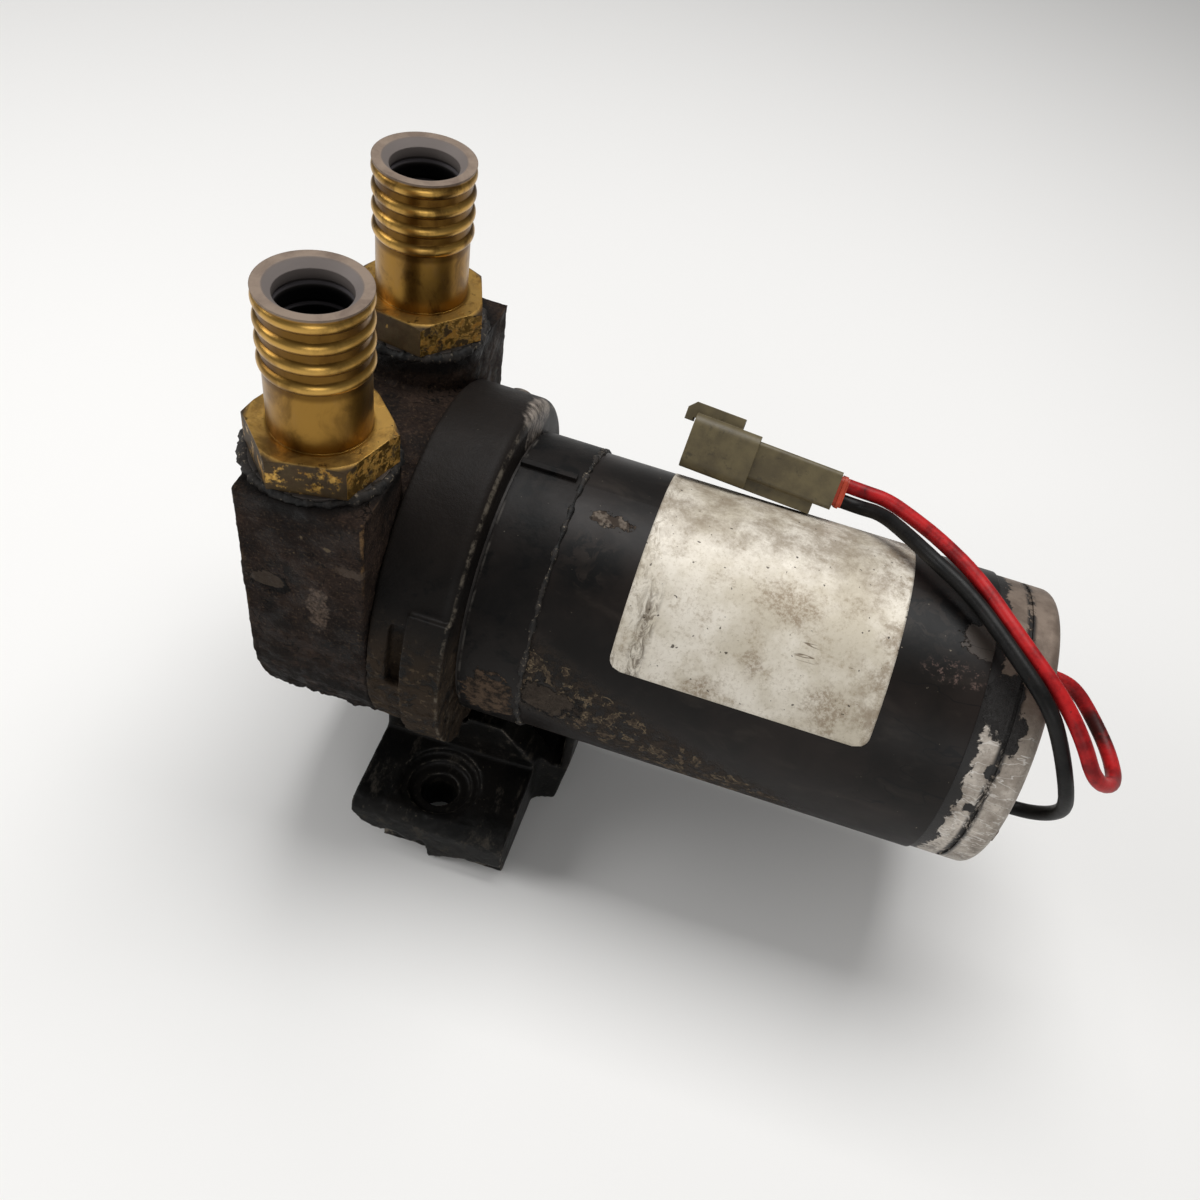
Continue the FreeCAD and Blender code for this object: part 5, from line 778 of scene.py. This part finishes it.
def weathered(node, name, voxel, smoothing, wear, finish, proud=(0.0, 0.0, 0.0)):
    """An evenly meshed copy of a CAD node, whose surface wear(place, normal) moves, in metres.

    The copy stays in the node's box, but for the low sides, past which it may stand proud."""
    copy = bpy.data.objects.new(name, frame["nodes"][node].data.copy())
    bpy.context.scene.collection.objects.link(copy)
    even = copy.modifiers.new("even", "REMESH")
    even.mode = "VOXEL"
    even.voxel_size = voxel
    even.use_smooth_shade = True
    calm = copy.modifiers.new("calm", "SMOOTH")
    calm.factor = 0.5
    calm.iterations = smoothing
    bpy.context.view_layer.update()
    graph = bpy.context.evaluated_depsgraph_get()
    mesh = bpy.data.meshes.new_from_object(copy.evaluated_get(graph))
    bpy.data.objects.remove(copy)
    low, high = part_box(node)
    moved = []
    for vertex in mesh.vertices:
        moved.append(vertex.co + vertex.normal * wear(vertex.co, vertex.normal))
    for vertex, place in zip(mesh.vertices, moved):
        vertex.co = [min(max(place[i], low[i] - proud[i]), high[i]) for i in range(3)]
    mesh.update()
    piece = add_piece(name, mesh, finish)
    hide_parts(node)


def clouds(place, size, octaves=4):
    """Fractal noise of about -1 to 1, with its largest shapes size metres across."""
    return noise.fractal(place / size, 0.9, 2.0, octaves)


def rise(value, start, end):
    """0 at start and before it, 1 at end and after it, smooth between; end may lie below start."""
    share = min(max((value - start) / (end - start), 0.0), 1.0)
    return share * share * (3 - 2 * share)


def head_wear(place, normal):
    """Crust: lumps, scabs with steps between them, a swollen front and a ragged lower edge."""
    across = math.hypot(place.y, place.z - AXIS_HEIGHT)
    from_port = math.hypot(place.x - PORT_X, abs(place.y) - PORT_Y)
    if across < HEAD_MOUTH_RADIUS and HEAD_LOW.x + 0.002 < place.x < HEAD_HIGH.x - 0.0005:
        return 0.0
    if from_port < PORT_RADIUS and place.z > AXIS_HEIGHT + 0.03:
        return 0.0
    front = rise(normal.x, -0.3, -0.9) * rise(across, 0.040, 0.047)
    below = rise(normal.z, -0.2, -0.9) * rise(place.x, HEAD_HIGH.x - 0.001, HEAD_HIGH.x - 0.006)
    low = rise(place.z, AXIS_HEIGHT - 0.012, AXIS_HEIGHT - 0.042)
    # set back a little, with lumps, scabs and grit of a few tenths of a millimetre on it
    lumps = clouds(place, 0.010)
    scabs = rise(clouds(place + Vector((3, 1, 2)), 0.0065, 3), 0.05, 0.16)
    grit = clouds(place, 0.0014, 3)
    wear = -0.00022 + 0.00022 * lumps + 0.00016 * scabs + 0.00010 * grit
    ragged = clouds(place + Vector((7, 5, 1)), 0.0038, 5)
    return wear + front * 0.0009 + low * 0.0005 * ragged + below * (0.0004 + 0.0016 * ragged)


def disc_wear(place, normal):
    """Nearly smooth above, scabby low down and on the lug."""
    across = math.hypot(place.y, place.z - AXIS_HEIGHT)
    if across < DISC_MOUTH_RADIUS:
        return 0.0
    low = rise(place.z, AXIS_HEIGHT + 0.016, AXIS_HEIGHT - 0.010)
    scabs = rise(clouds(place + Vector((1, 4, 2)), 0.0060, 4), 0.02, 0.14)
    fine = clouds(place, 0.0016, 3)
    return 0.00004 * clouds(place, 0.008) - low * 0.0003 * scabs + low * 0.00016 * fine


def foot_wear(place, normal):
    """Rounded, nicked edges and a torn near skirt."""
    torn = rise(place.y, -0.040, -0.051)
    nicks = clouds(place + Vector((2, 2, 9)), 0.0035, 4)
    return 0.00005 * clouds(place, 0.006) + torn * 0.00030 * nicks


def round_corner(share_x, share_around, width, height, corner):
    """Where a point of a plain rectangle goes on one with round corners, in metres."""
    around = share_around * height
    inset = min(around, height - around)
    trim = 0.0
    if inset < corner:
        trim = corner - math.sqrt(max(corner ** 2 - (corner - inset) ** 2, 0.0))
    return trim + share_x * (width - 2 * trim), around


def smooth_mesh(name, form):
    """A bmesh as a new mesh, with its faces turned outwards and shaded smooth."""
    bmesh.ops.recalc_face_normals(form, faces=form.faces)
    mesh = bpy.data.meshes.new(name)
    form.to_mesh(mesh)
    form.free()
    for face in mesh.polygons:
        face.use_smooth = True
    return mesh


def make_label():
    """The foil plate: a thin curved sheet with round corners."""
    radius = TUBE_RADIUS + LABEL_THICKNESS
    first = math.acos(min(LABEL_HIGH.y / radius, 1.0))
    last = math.acos(LABEL_LOW.y / radius)
    width = LABEL_HIGH.x - LABEL_LOW.x
    height = radius * (last - first)
    columns, rows = 110, 110
    form = bmesh.new()
    layers = []
    for level in (radius, TUBE_RADIUS + LABEL_LIFT):
        grid = []
        for row in range(rows + 1):
            line = []
            for column in range(columns + 1):
                x, around = round_corner(column / columns, row / rows, width, height, LABEL_CORNER)
                angle = first + around / radius
                spot = Vector((LABEL_LOW.x + x, level * math.cos(angle), level * math.sin(angle)))
                line.append(form.verts.new(spot + Vector((0, 0, AXIS_HEIGHT))))
            grid.append(line)
        layers.append(grid)
    top, under = layers
    for row in range(rows):
        for column in range(columns):
            corners = [(row, column), (row, column + 1), (row + 1, column + 1), (row + 1, column)]
            form.faces.new([top[r][c] for r, c in corners])
            form.faces.new([under[r][c] for r, c in reversed(corners)])
    rim = [(0, c) for c in range(columns)] + [(r, columns) for r in range(rows)]
    rim += [(rows, c) for c in range(columns, 0, -1)] + [(r, 0) for r in range(rows, 0, -1)]
    for (r, c), (s, d) in zip(rim, rim[1:] + rim[:1]):
        form.faces.new([top[s][d], top[r][c], under[r][c], under[s][d]])
    piece = add_piece("rating_plate", smooth_mesh("rating_plate", form), aged_foil())
    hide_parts("rating_label")


def make_bead(name, centre, axis, radius, thickness, lumps, seed, heap=0.0):
    """A lumpy, broken ring of sealant round one axis of the frame, all in metres.

    A heap makes it that many times thicker again, and lower, towards the front."""
    form = bmesh.new()
    turns, sides = 360, 10
    first, second = [index for index in range(3) if index != axis]
    rings = []
    for turn in range(turns):
        angle = 2 * math.pi * turn / turns
        out = Vector((0, 0, 0))
        out[first], out[second] = math.cos(angle), math.sin(angle)
        up = Vector((0, 0, 0))
        up[axis] = 1.0
        at = Vector(centre) + out * radius
        heaped = heap * rise(out.x, -0.35, -0.95)
        at -= up * (thickness * heaped * 0.9)
        swell = (1 + heaped) * (1 + lumps * clouds(at + Vector((seed, 0, 0)), 0.004, 5))
        shift = 0.3 * thickness * clouds(at + Vector((0, seed, 0)), 0.006, 3)
        ring = []
        for side in range(sides):
            round_angle = 2 * math.pi * side / sides
            rough = 1 + 0.35 * lumps * clouds(at + Vector((seed, seed, side * 0.003)), 0.002, 3)
            reach = max(thickness * swell * rough, thickness * 0.15)
            ring.append(form.verts.new(at + out * math.cos(round_angle) * reach
                                       + up * (math.sin(round_angle) * reach + shift)))
        rings.append(ring)
    for turn in range(turns):
        here, there = rings[turn], rings[(turn + 1) % turns]
        for side in range(sides):
            after = (side + 1) % sides
            form.faces.new([here[side], here[after], there[after], there[side]])
    add_piece(name, smooth_mesh(name, form), dried_sealant(name + " finish"))


def make_lead(name, node, route, finish):
    """A lead on one smooth line, from its grommet to the connector."""
    curve = bpy.data.curves.new(name, "CURVE")
    curve.dimensions = "3D"
    curve.resolution_u = 16
    curve.bevel_depth = LEAD_DIAMETER / 2
    curve.bevel_resolution = 6
    curve.use_fill_caps = True
    spline = curve.splines.new("NURBS")
    spline.points.add(len(route) - 1)
    for point, place in zip(spline.points, reversed(route)):
        point.co = (*place, 1.0)
    spline.order_u = 3
    spline.use_endpoint_u = True
    piece = add_piece(name, curve, finish)
    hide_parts(node)


def finish_nodes():
    """Gives each CAD node the finish of its material slot, and returns the finishes by slot."""
    finishes = {
        "cast_black": crusted_casting(),
        "black_enamel": motor_enamel(),
        "cast_aluminium": end_cap_metal(),
        "brass": tail_brass("Near tail brass", -PORT_Y, 0.35, 0.3),
        "fibre": moulded("Fibre washer", (60, 54, 50), (36, 32, 30), (20, 17, 15)),
        "foot_plastic": foot_moulding(),
        "foil": aged_foil(),
        "black_insulation": insulation("Black lead", (23, 22, 21), (10, 10, 10)),
        "red_insulation": insulation("Red lead", (182, 30, 32), (120, 16, 20)),
        "connector_plastic": moulded("Connector plastic", (100, 89, 60), (78, 68, 45),
                                     (44, 37, 24)),
        "seal_orange": moulded("Wire seal", (188, 66, 34), (150, 44, 24), (84, 30, 20)),
        "contact_metal": machined("Contact metal", (214, 208, 190), (160, 150, 130)),
        "zinc_steel": rusted("Zinc steel", (146, 140, 132), (98, 92, 86)),
        "bright_steel": machined("Bright steel", (206, 205, 202), (150, 148, 145)),
        "pump_iron": machined("Pump iron", (132, 128, 124), (84, 80, 77), (0.35, 0.6)),
        "bronze": machined("Bronze", (184, 128, 76), (130, 86, 50), (0.3, 0.5)),
        "vane_plastic": moulded("Vane plastic", (60, 52, 44), (40, 34, 30), (28, 24, 22)),
        "copper": machined("Copper", (196, 112, 74), (140, 70, 44), (0.25, 0.45)),
        "carbon": moulded("Carbon", (46, 46, 48), (26, 26, 28), (18, 18, 18)),
        "ferrite": moulded("Ferrite", (58, 56, 56), (38, 37, 38), (26, 25, 25)),
        "card": moulded("Brush card", (150, 108, 64), (118, 82, 48), (70, 50, 34)),
    }
    slots = {}
    for subpart in frame["record"]["subparts"]:
        slots[subpart["node"]] = subpart["material_slot"]
    for name, node in frame["nodes"].items():
        node.data.materials.clear()
        node.data.materials.append(finishes[slots[name]])
        for face in node.data.polygons:
            face.material_index = 0
    frame["nodes"]["far_hose_tail"].data.materials[0] = tail_brass("Far tail brass", PORT_Y, 0.1, 1.0)
    frame["nodes"]["motor_front_bell"].data.materials[0] = bell_enamel()
    frame["nodes"]["relief_plug"].data.materials[0] = finishes["zinc_steel"]
    return finishes


def make_floor():
    """A plain pale floor."""
    bpy.ops.mesh.primitive_plane_add(size=FLOOR_SIZE, location=(0, 0, -FLOOR_DROP))
    floor = bpy.context.object
    floor.name = "floor"
    f = Finish("Pale floor")
    f.base = (244, 243, 241)
    f.surface(0.9)
    floor.data.materials.append(f.material)


def make_lamp(name, place, aim, size, power):
    """A soft box that looks at a point."""
    lamp = bpy.data.lights.new(name, "AREA")
    lamp.shape = "RECTANGLE"
    lamp.size, lamp.size_y = size
    lamp.energy = power
    held = bpy.data.objects.new(name, lamp)
    held.location = place
    held.rotation_euler = (Vector(aim) - Vector(place)).to_track_quat("-Z", "Y").to_euler()
    bpy.context.scene.collection.objects.link(held)


def make_studio():
    """An even white world and three soft boxes."""
    world = bpy.data.worlds.new("Studio")
    world.use_nodes = True
    world.node_tree.nodes["Background"].inputs["Color"].default_value = (1, 1, 1, 1)
    world.node_tree.nodes["Background"].inputs["Strength"].default_value = WORLD_LIGHT
    bpy.context.scene.world = world
    bpy.context.scene.view_settings.view_transform = "Standard"
    for lamp in LAMPS:
        make_lamp(*lamp)


def make_camera():
    """The camera from the photo's viewing angle."""
    data = bpy.data.cameras.new("camera")
    data.sensor_width = SENSOR_WIDTH
    data.lens = CAMERA_LENS
    data.shift_x, data.shift_y = CAMERA_SHIFT
    data.clip_start, data.clip_end = NEAREST, FARTHEST
    camera = bpy.data.objects.new("camera", data)
    camera.location = CAMERA_PLACE
    camera.rotation_euler = Euler([math.radians(turn) for turn in CAMERA_TURN], "XYZ")
    bpy.context.scene.collection.objects.link(camera)
    bpy.context.scene.camera = camera


make_camera()
make_studio()
make_floor()
finishes = finish_nodes()
make_lead("black_wire", "black_lead", BLACK_ROUTE, finishes["black_insulation"])
make_lead("red_wire", "red_lead", RED_ROUTE,
          insulation("Stained red lead", (182, 30, 32), (120, 16, 20),
                     stains=(((0.1685, -0.006, 0.0935), 0.0075),)))
weathered("pump_head", "head_casting", HEAD_VOXEL, 1, head_wear, finishes["cast_black"],
          proud=HEAD_PROUD)
weathered("seal_housing", "seal_carrier", DISC_VOXEL, 2, disc_wear, housing_paint())
weathered("mounting_foot", "foot_moulding", FOOT_VOXEL, 2, foot_wear, finishes["foot_plastic"])
make_label()
make_bead("bell_sealant", (TUBE_LOW.x, 0, AXIS_HEIGHT), X, TUBE_RADIUS + BEAD_LIFT, BELL_BEAD,
          lumps=0.8, seed=1.0)
for name, port_y, seed in (("near_port_sealant", -PORT_Y, 2.0), ("far_port_sealant", PORT_Y, 3.0)):
    make_bead(name, (PORT_X, port_y, HEAD_HIGH.z + BEAD_LIFT), Z, PORT_BEAD_RADIUS, PORT_BEAD,
              lumps=0.7, seed=seed, heap=1.0)
